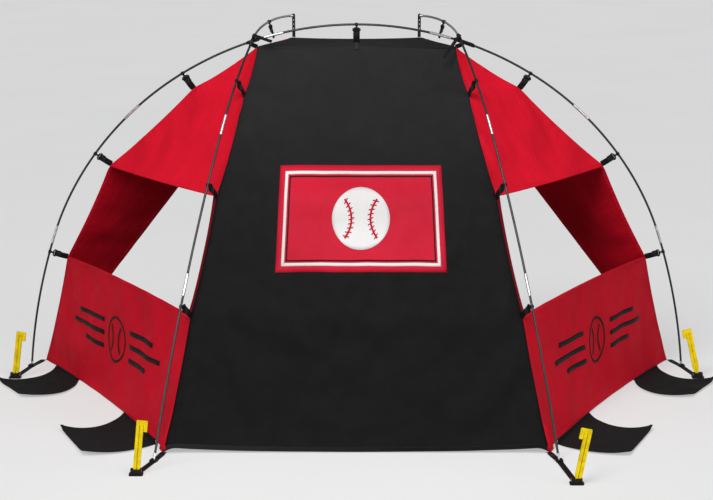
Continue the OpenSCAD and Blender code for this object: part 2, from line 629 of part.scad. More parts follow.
// the strap runs from the pole's pin to the socket, and its tongue back under the corner tab;
// start is the frame of the pole's first section
module foot_strap(start, tab_heading, heading, l) {
  foot = place_of(start * move_by([-foot_run, 0, 0]));
  socket_at = foot + heading_dir(heading) * l;
  color(plastic_color) placed() difference() {
    translate(foot) union() {
      rotate([0, 0, -90 - heading]) ladder(l, foot_strap_w, floor((l - 36) / ladder_pitch));
      rotate([0, 0, -90 - heading]) linear_extrude(height = seat_h) socket_outline(seat_size, 6);
      rotate([0, 0, -90 - tab_heading]) translate([-tongue_l, -foot_strap_w / 2, 0])
        cube([tongue_l, foot_strap_w, ladder_t]);
    }
    // the pin's bore leans with the pole
    multmatrix(start) translate([-foot_run, 0, 0]) rotate([0, 90, 0])
      cylinder(d = ladder_hole_d, h = 4 * seat_h, center = true, $fn = round_steps);
    translate([socket_at[0] - socket_size[0] / 2, socket_at[1] - socket_size[1] / 2, -1])
      cube([socket_size[0], socket_size[1], ladder_t + 2]);
  }
}
module corner_tab(corner, heading) {
  translate(corner + [0, 0, ladder_t]) rotate([0, 0, -90 - heading]) linear_extrude(height = tab_t) {
    circle(d = tab_w, $fn = round_steps);
    translate([0, -tab_w / 2]) square([corner_to_pin * 0.55, tab_w]);
  }
}
module corner_tabs() {
  color(webbing_color) placed() both_sides() {
    corner_tab(far_corner, far_heading);
    corner_tab(near_corner, near_heading);
  }
}

// ---- pegs and their sockets ----
// The peg's own frame stands on the ground at the socket, z up the peg.
peg_web = 5;
peg_groove = 4;
peg_point = 7;
peg_cap_h = 15;
peg_hook_h = 40;
peg_hook_gap = 1.5;
module peg_section() {
  flange = (peg_w - peg_groove) / 2;
  square([peg_w, peg_web], center = true);
  for (x = [-1, 1])
    translate([x * (peg_w - flange) / 2, 0]) square([flange, peg_depth], center = true);
}
// side outline: a wedge point, a straight shaft, and a hook that turns back down
module peg_side() {
  polygon([
    [-peg_point / 2, 0], [peg_point / 2, 0], [peg_w / 2, socket_h + 4], [peg_w / 2, peg_l],
    [-peg_w / 2, peg_l], [-peg_w / 2, socket_h + 4]]);
}
module peg() {
  color(peg_color) union() {
    intersection() {
      linear_extrude(height = peg_l) peg_section();
      rotate([90, 0, 0]) linear_extrude(height = peg_depth * 2, center = true) peg_side();
    }
    rotate([90, 0, 0]) linear_extrude(height = peg_depth + 1, center = true) {
      translate([-peg_w / 2, peg_l - peg_cap_h]) square([peg_w + peg_hook_w, peg_cap_h - 5]);
      translate([-peg_w / 2 + 5, peg_l - peg_cap_h]) square([peg_w + peg_hook_w - 10, peg_cap_h]);
      for (x = [-peg_w / 2 + 5, peg_w / 2 + peg_hook_w - 5])
        translate([x, peg_l - 5]) circle(r = 5, $fn = round_steps);
      translate([peg_w / 2 + peg_hook_gap, peg_l - peg_hook_h])
        square([peg_hook_w - peg_hook_gap, peg_hook_h - peg_cap_h]);
    }
  }
}
module socket_outline(size, r) {
  square([size[0] - 2 * r, size[1]], center = true);
  square([size[0], size[1] - 2 * r], center = true);
  for (x = [-1, 1]) for (y = [-1, 1])
    translate([x * (size[0] / 2 - r), y * (size[1] / 2 - r)]) circle(r = r, $fn = round_steps);
}
socket_gap = 0.6;
// a flat base, a collar round the peg, and two ribs; the slot follows the peg's lean
module socket(at, lean) {
  base_h = 6;
  color(plastic_color) placed() translate(at) difference() {
    union() {
      linear_extrude(height = base_h) socket_outline(socket_size, 8);
      linear_extrude(height = socket_h) socket_outline([peg_w + 15, peg_depth + 13], 5);
      for (x = [-1, 1]) translate([x * (peg_w / 2 + 2), 0, socket_h * 0.38])
        cube([4, socket_size[1] - 6, socket_h * 0.76], center = true);
    }
    rotate([0, lean, 0]) translate([0, 0, -10]) linear_extrude(height = socket_h + 30)
      square([peg_w + 2 * socket_gap, peg_depth + 2 * socket_gap], center = true);
  }
}
peg_lift = 1.5;         // the peg's point stays this far off the floor
far_right_lift = 17;    // the far right peg isn't pushed all the way down
near_right_lift = 4;
module standing_peg(at, lean, hook_side, lift = peg_lift) {
  placed() translate(at) rotate([0, lean, 0]) translate([0, 0, lift])
    mirror([hook_side < 0 ? 1 : 0, 0, 0]) peg();
}
// lean of each peg to the right, degrees, and the side its hook points to
far_left_lean = 7;
far_right_lean = -12.5;
near_left_lean = 5.5;
near_right_lean = 11;

// ---- ground flaps, each sewn to the side hem along one straight edge ----
// start along the hem and sewn width as shares of it, length out from the hem, and how far
// each side edge sweeps back
far_flap = [0.0757, 0.176, 325, 150, 166];
near_flap = [0.621, 0.3, 303, 154, 60];
flap_clear = 5;
function hem_point(share) = mix(far_hem, near_hem, share) + inward * (4 * side_hem_bow * share * (1 - share));
function sweep_edge(x, skew, l, n) = [for (i = [0:n]) let (t = i / n)
  [x + skew * (3.4 * t * (1 - t) + t * t), l * (0.8 * t * (1 - t) + t * t)]];
module flap(f) {
  a = hem_point(f[0]);
  b = hem_point(f[0] + f[1]);
  along_hem = unit([b[0] - a[0], b[1] - a[1], 0]);
  outward = [along_hem[1], -along_hem[0], 0];
  w = norm([b[0] - a[0], b[1] - a[1]]);
  corner = a - [0, 0, a[2]] + outward * flap_clear;
  edge_n = 8;
  first = sweep_edge(0, f[3], f[2], edge_n);
  last = sweep_edge(w, f[4], f[2], edge_n);
  color(flap_cloth) placed() multmatrix([
    [along_hem[0], outward[0], 0, corner[0]], [along_hem[1], outward[1], 0, corner[1]], [0, 0, 1, 0], [0, 0, 0, 1]])
    linear_extrude(height = flap_t)
      polygon(concat(first, [for (i = [edge_n:-1:0]) last[i]]));
}

for (i = [0:6]) arch_section(i);
for (i = [0:2]) leg_section(i);
for (i = [0:2]) right_side() leg_section(i);
visor_poles();
arch_ferrules();
leg_ferrules();
shock_cord(arch_start, arch_arcs);  // arch_shock_cord
shock_cord(leg_start, leg_arcs);  // left_shock_cord
right_side() shock_cord(leg_start, leg_arcs);  // right_shock_cord
pole_end_pins();
visor_end_pins();
left_hub();
right_hub();
left_tie();
right_tie();
tie_tail();
arch_hooks();
leg_hooks();
visor_hooks();
arch_straps();
leg_straps();
visor_straps();
visor_ladders();
back_panel();
roof_panel();
window_jamb();  // left_window_jamb
right_side() window_jamb();  // right_window_jamb
upper_panel();  // left_upper_panel
right_side() upper_panel();  // right_upper_panel
lower_panel();  // left_lower_panel
right_side() lower_panel();  // right_lower_panel
front_strip();  // left_front_strip
right_side() front_strip();  // right_front_strip
corner_tabs();
foot_strap(arch_start, far_heading, far_strap_heading, far_to_socket);  // far_left_foot_strap
right_side() foot_strap(arch_start, far_heading, far_strap_heading, far_to_socket);  // far_right_foot_strap
foot_strap(leg_start, near_heading, near_left_heading, near_left_to_socket);  // near_left_foot_strap
right_side() foot_strap(leg_start, near_heading, near_right_heading, near_right_to_socket);  // near_right_foot_strap
socket(far_socket_at, far_left_lean);  // far_left_socket
socket(flip_x(far_socket_at), far_right_lean);  // far_right_socket
socket(near_left_socket_at, near_left_lean);  // near_left_socket
socket(flip_x(near_right_socket_at), near_right_lean);  // near_right_socket
standing_peg(far_socket_at, far_left_lean, 1);  // far_left_peg
standing_peg(flip_x(far_socket_at), far_right_lean, -1, far_right_lift);  // far_right_peg
standing_peg(near_left_socket_at, near_left_lean, 1);  // near_left_peg
standing_peg(flip_x(near_right_socket_at), near_right_lean, -1, near_right_lift);  // near_right_peg
flap(far_flap);  // far_left_flap
right_side() flap(far_flap);  // far_right_flap
flap(near_flap);  // near_left_flap
right_side() flap(near_flap);  // near_right_flap
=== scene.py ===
import math

import bmesh
import bpy
import numpy as np
from mathutils import Matrix, Vector, noise
from mathutils.bvhtree import BVHTree


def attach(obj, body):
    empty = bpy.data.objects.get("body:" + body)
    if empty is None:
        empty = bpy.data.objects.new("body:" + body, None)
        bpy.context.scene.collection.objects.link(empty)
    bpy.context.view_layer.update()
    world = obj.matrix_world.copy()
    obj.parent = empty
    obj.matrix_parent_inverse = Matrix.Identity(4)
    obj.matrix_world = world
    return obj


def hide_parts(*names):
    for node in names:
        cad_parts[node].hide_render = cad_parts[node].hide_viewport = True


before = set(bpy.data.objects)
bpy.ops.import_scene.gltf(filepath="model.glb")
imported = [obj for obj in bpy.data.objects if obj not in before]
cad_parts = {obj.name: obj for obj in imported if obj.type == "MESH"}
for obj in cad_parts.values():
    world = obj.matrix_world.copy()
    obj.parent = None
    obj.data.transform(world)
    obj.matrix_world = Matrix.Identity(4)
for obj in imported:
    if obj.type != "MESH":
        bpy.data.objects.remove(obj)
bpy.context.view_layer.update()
shelter = "shelter"


# small helpers
def rotX(degrees):
    return Matrix.Rotation(math.radians(degrees), 4, "X")


def rotY(degrees):
    return Matrix.Rotation(math.radians(degrees), 4, "Y")


def rotZ(degrees):
    return Matrix.Rotation(math.radians(degrees), 4, "Z")


def shifted(vector):
    return Matrix.Translation(Vector(vector))


def placeOf(matrix):
    return np.array(matrix.translation)


def axisOf(matrix, column):
    return np.array(matrix.col[column].xyz)


def unit(vector):
    return vector / np.linalg.norm(vector)


def mixed(a, b, share):
    return a + (b - a) * share


def onSide(points, mirrorSide):
    return np.array(points) * [mirrorSide, 1, 1]


def flippedX(points):
    return onSide(points, -1)


def runsAlong(path):
    return np.concatenate([[0], np.cumsum(np.linalg.norm(np.diff(path, axis=0), axis=1))])


# the points of a line at given distances along it, or at given shares of it
def pointsAt(places, runs, line):
    return np.array([[np.interp(place, runs, line[:, axis]) for axis in range(3)] for place in places])


# ways turned square to a line's direction at each of its points
def squareTo(along, ways):
    ways = ways - along * np.sum(ways * along, axis=1)[:, None]
    return ways / np.maximum(np.linalg.norm(ways, axis=1), 1e-9)[:, None]


# the poles' lines, as the frame has them
poles = {
    "section": 0.715,
    "footRun": 0.024,           # from a pole's end along its line to the ground
    "archTurns": (12, 26.5, 29, 31.5, 29, 26.5, 12),
    "archLean": 18.5,
    "hubOffset": 0.437,         # along the arch from its middle
    "hubGap": 0.014,
    "legToHub": 1.904,
    "legSplay": 19.5,
    "legTurns": (6.8, 7.6, 15.6),
    "visorTurn": 57,
    "visorRoll": -62,
}


def bendStep(length, rate):
    radius, turn = 180 / (math.pi * rate), math.radians(length * rate)
    step = Matrix.Rotation(turn, 4, "Y")
    step.translation = (radius * math.sin(turn), 0, radius * (math.cos(turn) - 1))
    return step


def alongRun(arcs, distance):
    place = Matrix.Identity(4)
    for number, (length, turn, roll) in enumerate(arcs):
        place = place @ rotX(roll)
        if distance <= length or number == len(arcs) - 1:
            return place @ bendStep(distance, turn / length)
        place = place @ bendStep(length, turn / length)
        distance -= length


endLength = poles["section"] - poles["footRun"]
archArcs = [(endLength if number in (0, 6) else poles["section"], turn, 0)
            for number, turn in enumerate(poles["archTurns"])]
archRise = sum(poles["archTurns"]) / 2
archTurned = rotX(poles["archLean"]) @ rotY(-archRise)
archHeading = axisOf(archTurned, 0)
archSpan = (rotY(-archRise) @ alongRun(archArcs, sum(arc[0] for arc in archArcs))).translation[0]
halfSpan = archSpan / 2 + archHeading[0] * poles["footRun"]
archFoot = np.array([-halfSpan, 0, 0])
archStart = shifted(archFoot + archHeading * poles["footRun"]) @ archTurned
archMiddle = 3.5 * poles["section"]


def archFrame(distance):
    return archStart @ alongRun(archArcs, distance - poles["footRun"])


hubFrame = archFrame(archMiddle - poles["hubOffset"])
legEnd = poles["legToHub"] - 2 * poles["section"]
visorLength = poles["section"] - legEnd
legArcs = [(endLength, poles["legTurns"][0], 0), (poles["section"], poles["legTurns"][1], 0),
           (legEnd, poles["legTurns"][2], 0), (visorLength, poles["visorTurn"], poles["visorRoll"])]
legHub = placeOf(hubFrame) + axisOf(hubFrame, 2) * poles["hubGap"]
legChord = placeOf(alongRun(legArcs, poles["legToHub"] - poles["footRun"])) + [poles["footRun"], 0, 0]
legRise = math.degrees(math.asin(legHub[2] / np.linalg.norm(legChord)) - math.atan2(legChord[2], legChord[0]))
legTurned = rotZ(90 - poles["legSplay"]) @ rotY(-legRise)
legFoot = legHub - np.array(legTurned @ Vector(legChord))
legStart = shifted(legFoot + axisOf(legTurned, 0) * poles["footRun"]) @ legTurned


def legFrame(distance):
    return legStart @ alongRun(legArcs, distance - poles["footRun"])


# feet, and the line that everything is shifted by to stand in the middle of the frame
feet = {
    "farTabHeading": 19,        # outward turn of the corner tabs and of the longest strap, degrees
    "nearTabHeading": 14,
    "nearRightHeading": 7.3,
    "cornerToPin": 0.112,
    "nearRightToSocket": 0.296,
    "socketDepth": 0.040,
    "tabWidth": 0.025,
    "tabHeight": 0.0037,
}


def headingDir(degrees):
    return np.array([-math.sin(math.radians(degrees)), -math.cos(math.radians(degrees)), 0])


farCorner = archFoot - headingDir(feet["farTabHeading"]) * feet["cornerToPin"]
nearCorner = legFoot - headingDir(feet["nearTabHeading"]) * feet["cornerToPin"]
frontY = farCorner[1] + feet["tabWidth"] / 2
nearRightSocket = legFoot + headingDir(feet["nearRightHeading"]) * feet["nearRightToSocket"]
backY = nearRightSocket[1] - feet["socketDepth"] / 2
toMiddle = np.array([0, -(frontY + backY) / 2, 0])

# the cloth: where it hangs, how its edges bow, and how finely it is cut up
cloth = {
    "thickness": 0.0012,
    "strapReach": 0.082,
    "visorDrop": 0.092,         # from the visor's tip to the roof's corner
    "hubReach": 0.030,
    "archStraps": (0.248, 0.465, 0.686),    # shares of half the arch
    "legStraps": (0.328, 0.6045, 0.868),    # shares of a leg
    "visorStrap": 0.52,
    "legSkew": 0.012,
    "legStrapRoll": 8,
    "hemDrop": 0.016,
    "farInset": 0.014,
    "hemHeight": 0.005,
    "cornerLift": 0.020,
    "liftRun": 0.300,
    "sideBow": 0.045,
    "backBow": 0.012,
    "edgePull": 0.008,
    "topPull": 0.004,
    "brimSag": 0.006,
    "foldDepth": 0.009,         # of the back panel's folds that slant down from the hubs
    "foldSlant": 1.5,
    "foldSharpness": 5,
    "hollow": 1.4,              # the back panel's hollow, against its folds
    "windowTopSag": 0.004,
    "sillRise": 0.014,
    "jamb": 0.018,
    "spanRows": 14,
    "sideColumns": 26,
    "backColumns": 48,
    "brimColumns": 8,
}


def hung(place, reach):
    return placeOf(place) - axisOf(place, 2) * reach


def frameFrom(point, xDir, zDir):
    x = unit(np.array(xDir, float))
    z = unit(np.array(zDir, float) - x * np.dot(zDir, x))
    y = np.cross(z, x)
    return Matrix([(*row, point[n]) for n, row in enumerate(zip(x, y, z))] + [(0, 0, 0, 1)])


def downFrame(place):
    return frameFrom(placeOf(place), axisOf(place, 0), (0, 0, 1))


hubPoint = hung(hubFrame, cloth["hubReach"])
heart = placeOf(hubFrame) * [0, 1.25, 0.32]     # a point inside, that the cloth's inner face looks at
archStrapAt = [share * archMiddle for share in cloth["archStraps"]]
legStrapAt = [share * poles["legToHub"] for share in cloth["legStraps"]]
archStrapFrames = [archFrame(distance) for distance in archStrapAt]
legStrapFrames = [legFrame(distance) @ rotX(-cloth["legStrapRoll"]) for distance in legStrapAt]
archHang = [hung(archFrame(distance - (cloth["hemDrop"] if number == 1 else 0)), cloth["strapReach"])
            for number, distance in enumerate(archStrapAt)]
legHang = [hung(place, cloth["strapReach"]) - axisOf(place, 0) * cloth["legSkew"] for place in legStrapFrames]
topHang = hung(archFrame(archMiddle), cloth["strapReach"])
visorFrame = downFrame(legFrame(mixed(poles["legToHub"], 3 * poles["section"], cloth["visorStrap"])))
tipFrame = downFrame(legFrame(3 * poles["section"]))
roofCorner = hung(tipFrame, cloth["visorDrop"])
farHem = farCorner + [cloth["farInset"], 0, cloth["hemHeight"]]
nearHem = nearCorner + [0, 0, cloth["hemHeight"]]
inward = unit(np.cross(nearHem - farHem, [0, 0, -1]))
spanRows, sideColumns, backColumns = cloth["spanRows"], cloth["sideColumns"], cloth["backColumns"]
allRows = 4 * spanRows


def bowed(a, b, shares, bow):
    return np.array([mixed(a, b, share) + np.array(bow) * 4 * share * (1 - share) for share in shares])


def edgeSpan(a, b, count, pull):
    return bowed(a, b, [number / count for number in range(count)], unit(heart - mixed(a, b, 0.5)) * pull)


def ridge(points, pull):
    spans = [edgeSpan(a, b, spanRows, pull) for a, b in zip(points, points[1:])]
    return np.concatenate(spans + [[points[-1]]])


def rearLift(points):
    away = np.hypot(np.abs(points[:, 0]) - abs(nearHem[0]), points[:, 1] - nearHem[1])
    lifted = points.copy()
    lifted[:, 2] += np.where(away < 0.001, 0, cloth["cornerLift"] * np.exp(-away / cloth["liftRun"]))
    return lifted


archRidge = ridge([hubPoint, archHang[2], archHang[1], archHang[0], farHem], cloth["edgePull"])
legRidge = ridge([hubPoint, legHang[2], legHang[1], legHang[0], nearHem], cloth["edgePull"])
topHalf = edgeSpan(hubPoint, topHang, backColumns // 2, cloth["topPull"])
topRidge = np.concatenate([topHalf, [topHang], flippedX(topHalf[::-1])])
frontEdge = np.array([mixed(roofCorner, farHem, (hubPoint[2] - point[2]) / (hubPoint[2] - farHem[2]))
                      for point in archRidge])
brimShares = np.linspace(0, 1, cloth["brimColumns"] + 1)
backShares = np.linspace(0, 1, backColumns + 1)
brimSeam = bowed(hubPoint, roofCorner, brimShares, (0, 0, 0))
brimFront = bowed(roofCorner, flippedX(roofCorner), backShares, (0, 0, -cloth["brimSag"]))


def sharesWithJamb(a, b):
    last = 1 - cloth["jamb"] / np.linalg.norm(b - a)    # the last column is the strip behind the window
    return np.append(np.linspace(0, last, sideColumns), 1)


topShares = sharesWithJamb(archRidge[2 * spanRows], legRidge[2 * spanRows])
sillShares = sharesWithJamb(archRidge[3 * spanRows], legRidge[3 * spanRows])
windowTop = bowed(archRidge[2 * spanRows], legRidge[2 * spanRows], topShares, (0, 0, -cloth["windowTopSag"]))
windowSill = bowed(archRidge[3 * spanRows], legRidge[3 * spanRows], sillShares, (0, 0, cloth["sillRise"]))
sideHem = rearLift(bowed(farHem, nearHem, sillShares, inward * cloth["sideBow"]))
backHem = rearLift(bowed(nearHem, flippedX(nearHem), backShares, (0, cloth["backBow"], 0)))


# a surface through four edges: left and right run down the rows, top and bottom across
def patch(left, right, top, bottom, shares):
    rows = len(left) - 1
    grid = np.zeros((rows + 1, len(shares), 3))
    for row in range(rows + 1):
        down = row / rows
        for column, across in enumerate(shares):
            corners = mixed(mixed(left[0], right[0], across), mixed(left[rows], right[rows], across), down)
            grid[row, column] = (mixed(left[row], right[row], across)
                                 + mixed(top[column], bottom[column], down) - corners)
    grid[0], grid[rows], grid[:, 0], grid[:, -1] = top, bottom, left, right
    return grid


def backFold(across, down):
    fold = 1 - abs(across - 0.5) * 2 - cloth["foldSlant"] * down
    fromHub = math.sin(math.pi * min(1, down * 3)) * math.exp(-(fold * cloth["foldSharpness"]) ** 2)
    hollow = cloth["hollow"] * math.sin(math.pi * down) * math.sin(math.pi * across)
    return cloth["foldDepth"] * (fromHub + hollow)


def makePanelGrids():
    back = patch(legRidge, flippedX(legRidge), topRidge, backHem, backShares)
    for row in range(allRows + 1):
        for column, across in enumerate(backShares):
            back[row, column] += unit(heart - back[row, column]) * backFold(across, row / allRows)
    upper = patch(archRidge[:2 * spanRows + 1], legRidge[:2 * spanRows + 1],
                  np.repeat([hubPoint], len(topShares), axis=0), windowTop, topShares)
    lower = patch(archRidge[3 * spanRows:], legRidge[3 * spanRows:], windowSill, sideHem, sillShares)
    jambOuter = legRidge[2 * spanRows:3 * spanRows + 1]
    across = archRidge[2 * spanRows:3 * spanRows + 1] - jambOuter
    jambInner = jambOuter + across / np.linalg.norm(across, axis=1)[:, None] * cloth["jamb"]
    jambInner[0], jambInner[-1] = windowTop[-2], windowSill[-2]
    stripEnd = np.repeat([farHem], len(brimShares), axis=0)
    strip = patch(frontEdge, archRidge, brimSeam[::-1], stripEnd, brimShares)
    grids = {
        "back_panel": back,
        "roof_panel": patch(brimSeam, flippedX(brimSeam), topRidge, brimFront, backShares),
    }
    for name, grid in (("upper_panel", upper), ("lower_panel", lower), ("front_strip", strip),
                       ("window_jamb", np.stack([jambInner, jambOuter], axis=1))):
        grids["left_" + name] = grid
        grids["right_" + name] = flippedX(grid)
    return grids


# one shell of all the panels, sharing the points where they are sewn together
def joinPanels(grids):
    known, points, numbers = {}, [], {}
    for name, grid in grids.items():
        numbers[name] = np.zeros(grid.shape[:2], int)
        for place in np.ndindex(grid.shape[:2]):
            key = tuple(np.round(grid[place], 5) + 0.0)
            if key not in known:
                known[key] = len(points)
                points.append(grid[place])
            numbers[name][place] = known[key]
    return np.array(points), numbers


def gridFaces(numbers, flipped):
    faces = []
    for row in range(numbers.shape[0] - 1):
        for column in range(numbers.shape[1] - 1):
            ring = [numbers[row, column], numbers[row + 1, column],
                    numbers[row + 1, column + 1], numbers[row, column + 1]]
            ring = [corner for place, corner in enumerate(ring) if corner != ring[place - 1]]
            if len(ring) > 2:
                faces.append([int(corner) for corner in (ring[::-1] if flipped else ring)])
    return faces


def looksInward(points, numbers):
    rows, columns = numbers.shape
    a, b, c = (points[numbers[rows // 2, 0]], points[numbers[rows // 2 + 1, 0]],
               points[numbers[rows // 2, columns - 1]])
    return np.dot(np.cross(b - a, c - a), a - heart) < 0


# how the cloth settles between its straps
drape = {
    "steps": 60,
    "pulls": 14,                # in each step
    "overPull": 1.6,            # how far past the mean a pull goes, so that the cloth settles sooner
    "gravity": 0.15,            # m/s2, as the strung cloth carries most of its weight itself
    "stepTime": 0.008,
    "damping": 0.96,
    "shear": 0.6,
    "bending": 0.12,
    "spare": 0.006,             # cloth cut longer than the straight way between its edges
    "ruffle": 0.004,
    "seed": 7,                  # without it the ruffles come from the clock and change on every run
    "edgeGive": 0.2,            # how easily ridges and hems leave their line, against the open cloth
    "innerLimit": 0.022,        # the furthest a point may move
    "edgeLimit": 0.003,
}


def edgePoints(numbers):
    rims = set()
    for grid in numbers.values():
        for rim in (grid[0], grid[-1], grid[:, 0], grid[:, -1]):
            rims.update(int(number) for number in rim)
    return rims


# the threads that hold neighbouring points together: pairs, their lengths and how stiff they are
def threadPairs(points, numbers):
    kinds = {"straight": (((0, 1), (1, 0)), 1.0), "shear": (((1, 1), (1, -1)), drape["shear"]),
             "bending": (((0, 2), (2, 0)), drape["bending"])}
    pairs, stiffness = [], []
    for ways, stiff in kinds.values():
        for down, across in ways:
            for grid in numbers.values():
                rows, columns = grid.shape
                first = grid[:rows - down, max(0, -across):columns - max(0, across)]
                second = grid[down:, max(0, across):columns + min(0, across)]
                pairs.append(np.stack([first.ravel(), second.ravel()], axis=1))
                stiffness.append(np.full(first.size, stiff))
    pairs, stiffness = np.concatenate(pairs), np.concatenate(stiffness)
    lengths = np.linalg.norm(points[pairs[:, 1]] - points[pairs[:, 0]], axis=1)
    kept = lengths > 1e-6
    return pairs[kept], lengths[kept] * (1 + drape["spare"]), stiffness[kept]


# one pull of all threads at once, each point moved by the mean of what its threads ask for
def pullThreads(place, freedom, pairs, lengths, stiffness):
    a, b = pairs[:, 0], pairs[:, 1]
    gap = place[b] - place[a]
    long = np.maximum(np.linalg.norm(gap, axis=1), 1e-9)
    share = stiffness * (long - lengths) / long / np.maximum(freedom[a] + freedom[b], 1e-9)
    ends = np.concatenate([a, b])
    counts = np.maximum(np.bincount(ends, minlength=len(place)), 1)
    for axis in range(3):
        pull = share * gap[:, axis]
        asked = np.bincount(ends, np.concatenate([freedom[a] * pull, -freedom[b] * pull]), len(place))
        place[:, axis] += drape["overPull"] * asked / counts


# a cloth simulation on the shell's own grid; it gives the same folds on every run
def settleCloth(points, numbers):
    place = points.copy()
    rims = edgePoints(numbers)
    noise.seed_set(drape["seed"])
    for number, point in enumerate(points):
        if number not in rims:
            place[number] += np.array(noise.noise_vector(Vector(point * 7))) * drape["ruffle"]
    freedom = np.array([drape["edgeGive"] if number in rims else 1.0 for number in range(len(points))])
    anchors = [hubPoint, *archHang, *legHang, farHem, nearHem, roofCorner]
    anchors += [flippedX(point) for point in anchors] + [topHang]
    for anchor in anchors:
        freedom[np.argmin(np.linalg.norm(points - anchor, axis=1))] = 0
    pairs, lengths, stiffness = threadPairs(points, numbers)
    fall = np.array([0, 0, -drape["gravity"]]) * drape["stepTime"] ** 2
    before = place.copy()
    for step in range(drape["steps"]):
        ahead = place + ((place - before) * drape["damping"] + fall) * freedom[:, None]
        for pull in range(drape["pulls"]):
            pullThreads(ahead, freedom, pairs, lengths, stiffness)
        before, place = place, ahead
    moved = place - points
    limits = np.where(freedom < 1, drape["edgeLimit"], drape["innerLimit"])
    far = np.maximum(np.linalg.norm(moved, axis=1), 1e-9)
    return points + moved * (np.minimum(far, limits) / far)[:, None]


# bands and ribbons: a flat section swept along a line; its UV map is in metres
def newBuild():
    return {"points": [], "faces": [], "uvs": []}


def tangents(path):
    steps = np.gradient(np.array(path), axis=0)
    return steps / np.linalg.norm(steps, axis=1)[:, None]


def sweep(build, path, sides, normals, section, scales=None):
    start, count = len(build["points"]), len(section)
    path = np.array(path)
    runs = runsAlong(path)
    for place, point in enumerate(path):
        scale = 1 if scales is None else scales[place]
        for across, up in section:
            build["points"].append(point + sides[place] * across * scale + normals[place] * up)
    for place in range(len(path) - 1):
        for corner in range(count):
            after = (corner + 1) % count
            low, high = start + place * count, start + (place + 1) * count
            build["faces"].append([low + corner, low + after, high + after, high + corner])
            build["uvs"].append([(section[corner][0], runs[place]), (section[after][0], runs[place]),
                                 (section[after][0], runs[place + 1]), (section[corner][0], runs[place + 1])])
    for place, ring in ((0, range(count - 1, -1, -1)), (len(path) - 1, range(count))):
        build["faces"].append([start + place * count + corner for corner in ring])
        build["uvs"].append([(section[corner][0], runs[place]) for corner in ring])


def bandSection(width, thickness):
    w, t = width / 2, thickness / 2
    upper = [(-w, t * 0.35), (-w + t * 0.5, t * 0.9), (-w + t * 1.4, t), (0, t),
             (w - t * 1.4, t), (w - t * 0.5, t * 0.9), (w, t * 0.35)]
    return upper + [(across, -up) for across, up in upper[::-1]]


# a ribbon along a path; side is the way its width runs
def ribbon(build, path, side, width, thickness):
    path = np.array(path)
    along = tangents(path)
    sides = np.array(side) if np.ndim(side) == 2 else np.repeat([side], len(path), axis=0)
    sides = squareTo(along, sides)
    sweep(build, path, sides, np.cross(sides, along), bandSection(width, thickness))


def meshObject(name, build, closed=True):
    mesh = bpy.data.meshes.new(name)
    mesh.from_pydata([tuple(point + toMiddle) for point in build["points"]], [], build["faces"])
    layer = mesh.uv_layers.new(name="metres")
    for polygon, corners in zip(mesh.polygons, build["uvs"]):
        for loop, corner in zip(polygon.loop_indices, corners):
            layer.data[loop].uv = corner
    bm = bmesh.new()
    bm.from_mesh(mesh)
    if closed:
        bmesh.ops.recalc_face_normals(bm, faces=bm.faces)
    bm.to_mesh(mesh)
    bm.free()
    mesh.polygons.foreach_set("use_smooth", [True] * len(mesh.polygons))
    piece = bpy.data.objects.new(name, mesh)
    bpy.context.scene.collection.objects.link(piece)
    return piece


# a sheet from a grid of points; uvs are their places on it in metres
def sheetObject(name, grid, uvs, flipped):
    columns = grid.shape[1]
    own = np.arange(len(grid) * columns).reshape(grid.shape[:2])
    build = newBuild()
    build["points"] = list(grid.reshape(-1, 3))
    for face in gridFaces(own, flipped):
        build["faces"].append(face)
        build["uvs"].append([tuple(uvs[divmod(corner, columns)]) for corner in face])
    return meshObject(name, build, closed=False)


# offset says which side of the sheet the thickness lies on, and inner is the inner side's material
def thickened(piece, thickness, offset=0, inner=0):
    modifier = piece.modifiers.new("thickness", "SOLIDIFY")
    modifier.thickness = thickness
    modifier.offset = offset
    modifier.material_offset = inner


def finishPiece(piece, material, body=shelter, stands=()):
    piece.data.materials.append(material)
    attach(piece, body)
    if stands:
        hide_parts(*stands)
    return piece


def smoothed(piece, levels=1):
    modifier = piece.modifiers.new("smooth", "SUBSURF")
    modifier.levels = levels
    modifier.render_levels = levels
    modifier.boundary_smooth = "PRESERVE_CORNERS"


# materials
def newMaterial(name, color, roughness, **inputs):
    material = bpy.data.materials.new(name)
    material.use_nodes = True
    shader = material.node_tree.nodes["Principled BSDF"]
    shader.inputs["Base Color"].default_value = (*color, 1)
    shader.inputs["Roughness"].default_value = roughness
    for label, value in inputs.items():
        shader.inputs[label.replace("_", " ")].default_value = value
    return material


def addNode(material, kind, inputs=(), **settings):
    node = material.node_tree.nodes.new("ShaderNode" + kind)
    for label, value in settings.items():
        setattr(node, label, value)
    for label, value in dict(inputs).items():
        if isinstance(value, bpy.types.NodeSocket):
            material.node_tree.links.new(value, node.inputs[label])
        else:
            node.inputs[label].default_value = value
    return node


def plug(material, socket, value):
    shader = material.node_tree.nodes["Principled BSDF"]
    material.node_tree.links.new(value, shader.inputs[socket])


def mathNode(material, operation, a, b=0.0):
    return addNode(material, "Math", {0: a, 1: b}, operation=operation).outputs[0]


def objectPoint(material):
    return addNode(material, "TexCoord").outputs["Object"]


def metresMap(material):
    return addNode(material, "UVMap", uv_map="metres").outputs["UV"]


def speckle(material, where, scale, detail=3.0, stretch=(1, 1, 1)):
    mapped = addNode(material, "Mapping", {"Vector": where, "Scale": stretch}).outputs["Vector"]
    return addNode(material, "TexNoise", {"Vector": mapped, "Scale": scale, "Detail": detail}).outputs["Fac"]


# colour that wanders between two shades
def shadeBetween(material, amount, dark, light, low=0.35, high=0.65):
    ramp = addNode(material, "ValToRGB", {"Fac": amount})
    ramp.color_ramp.elements[0].position, ramp.color_ramp.elements[1].position = low, high
    ramp.color_ramp.elements[0].color, ramp.color_ramp.elements[1].color = (*dark, 1), (*light, 1)
    return ramp.outputs["Color"]


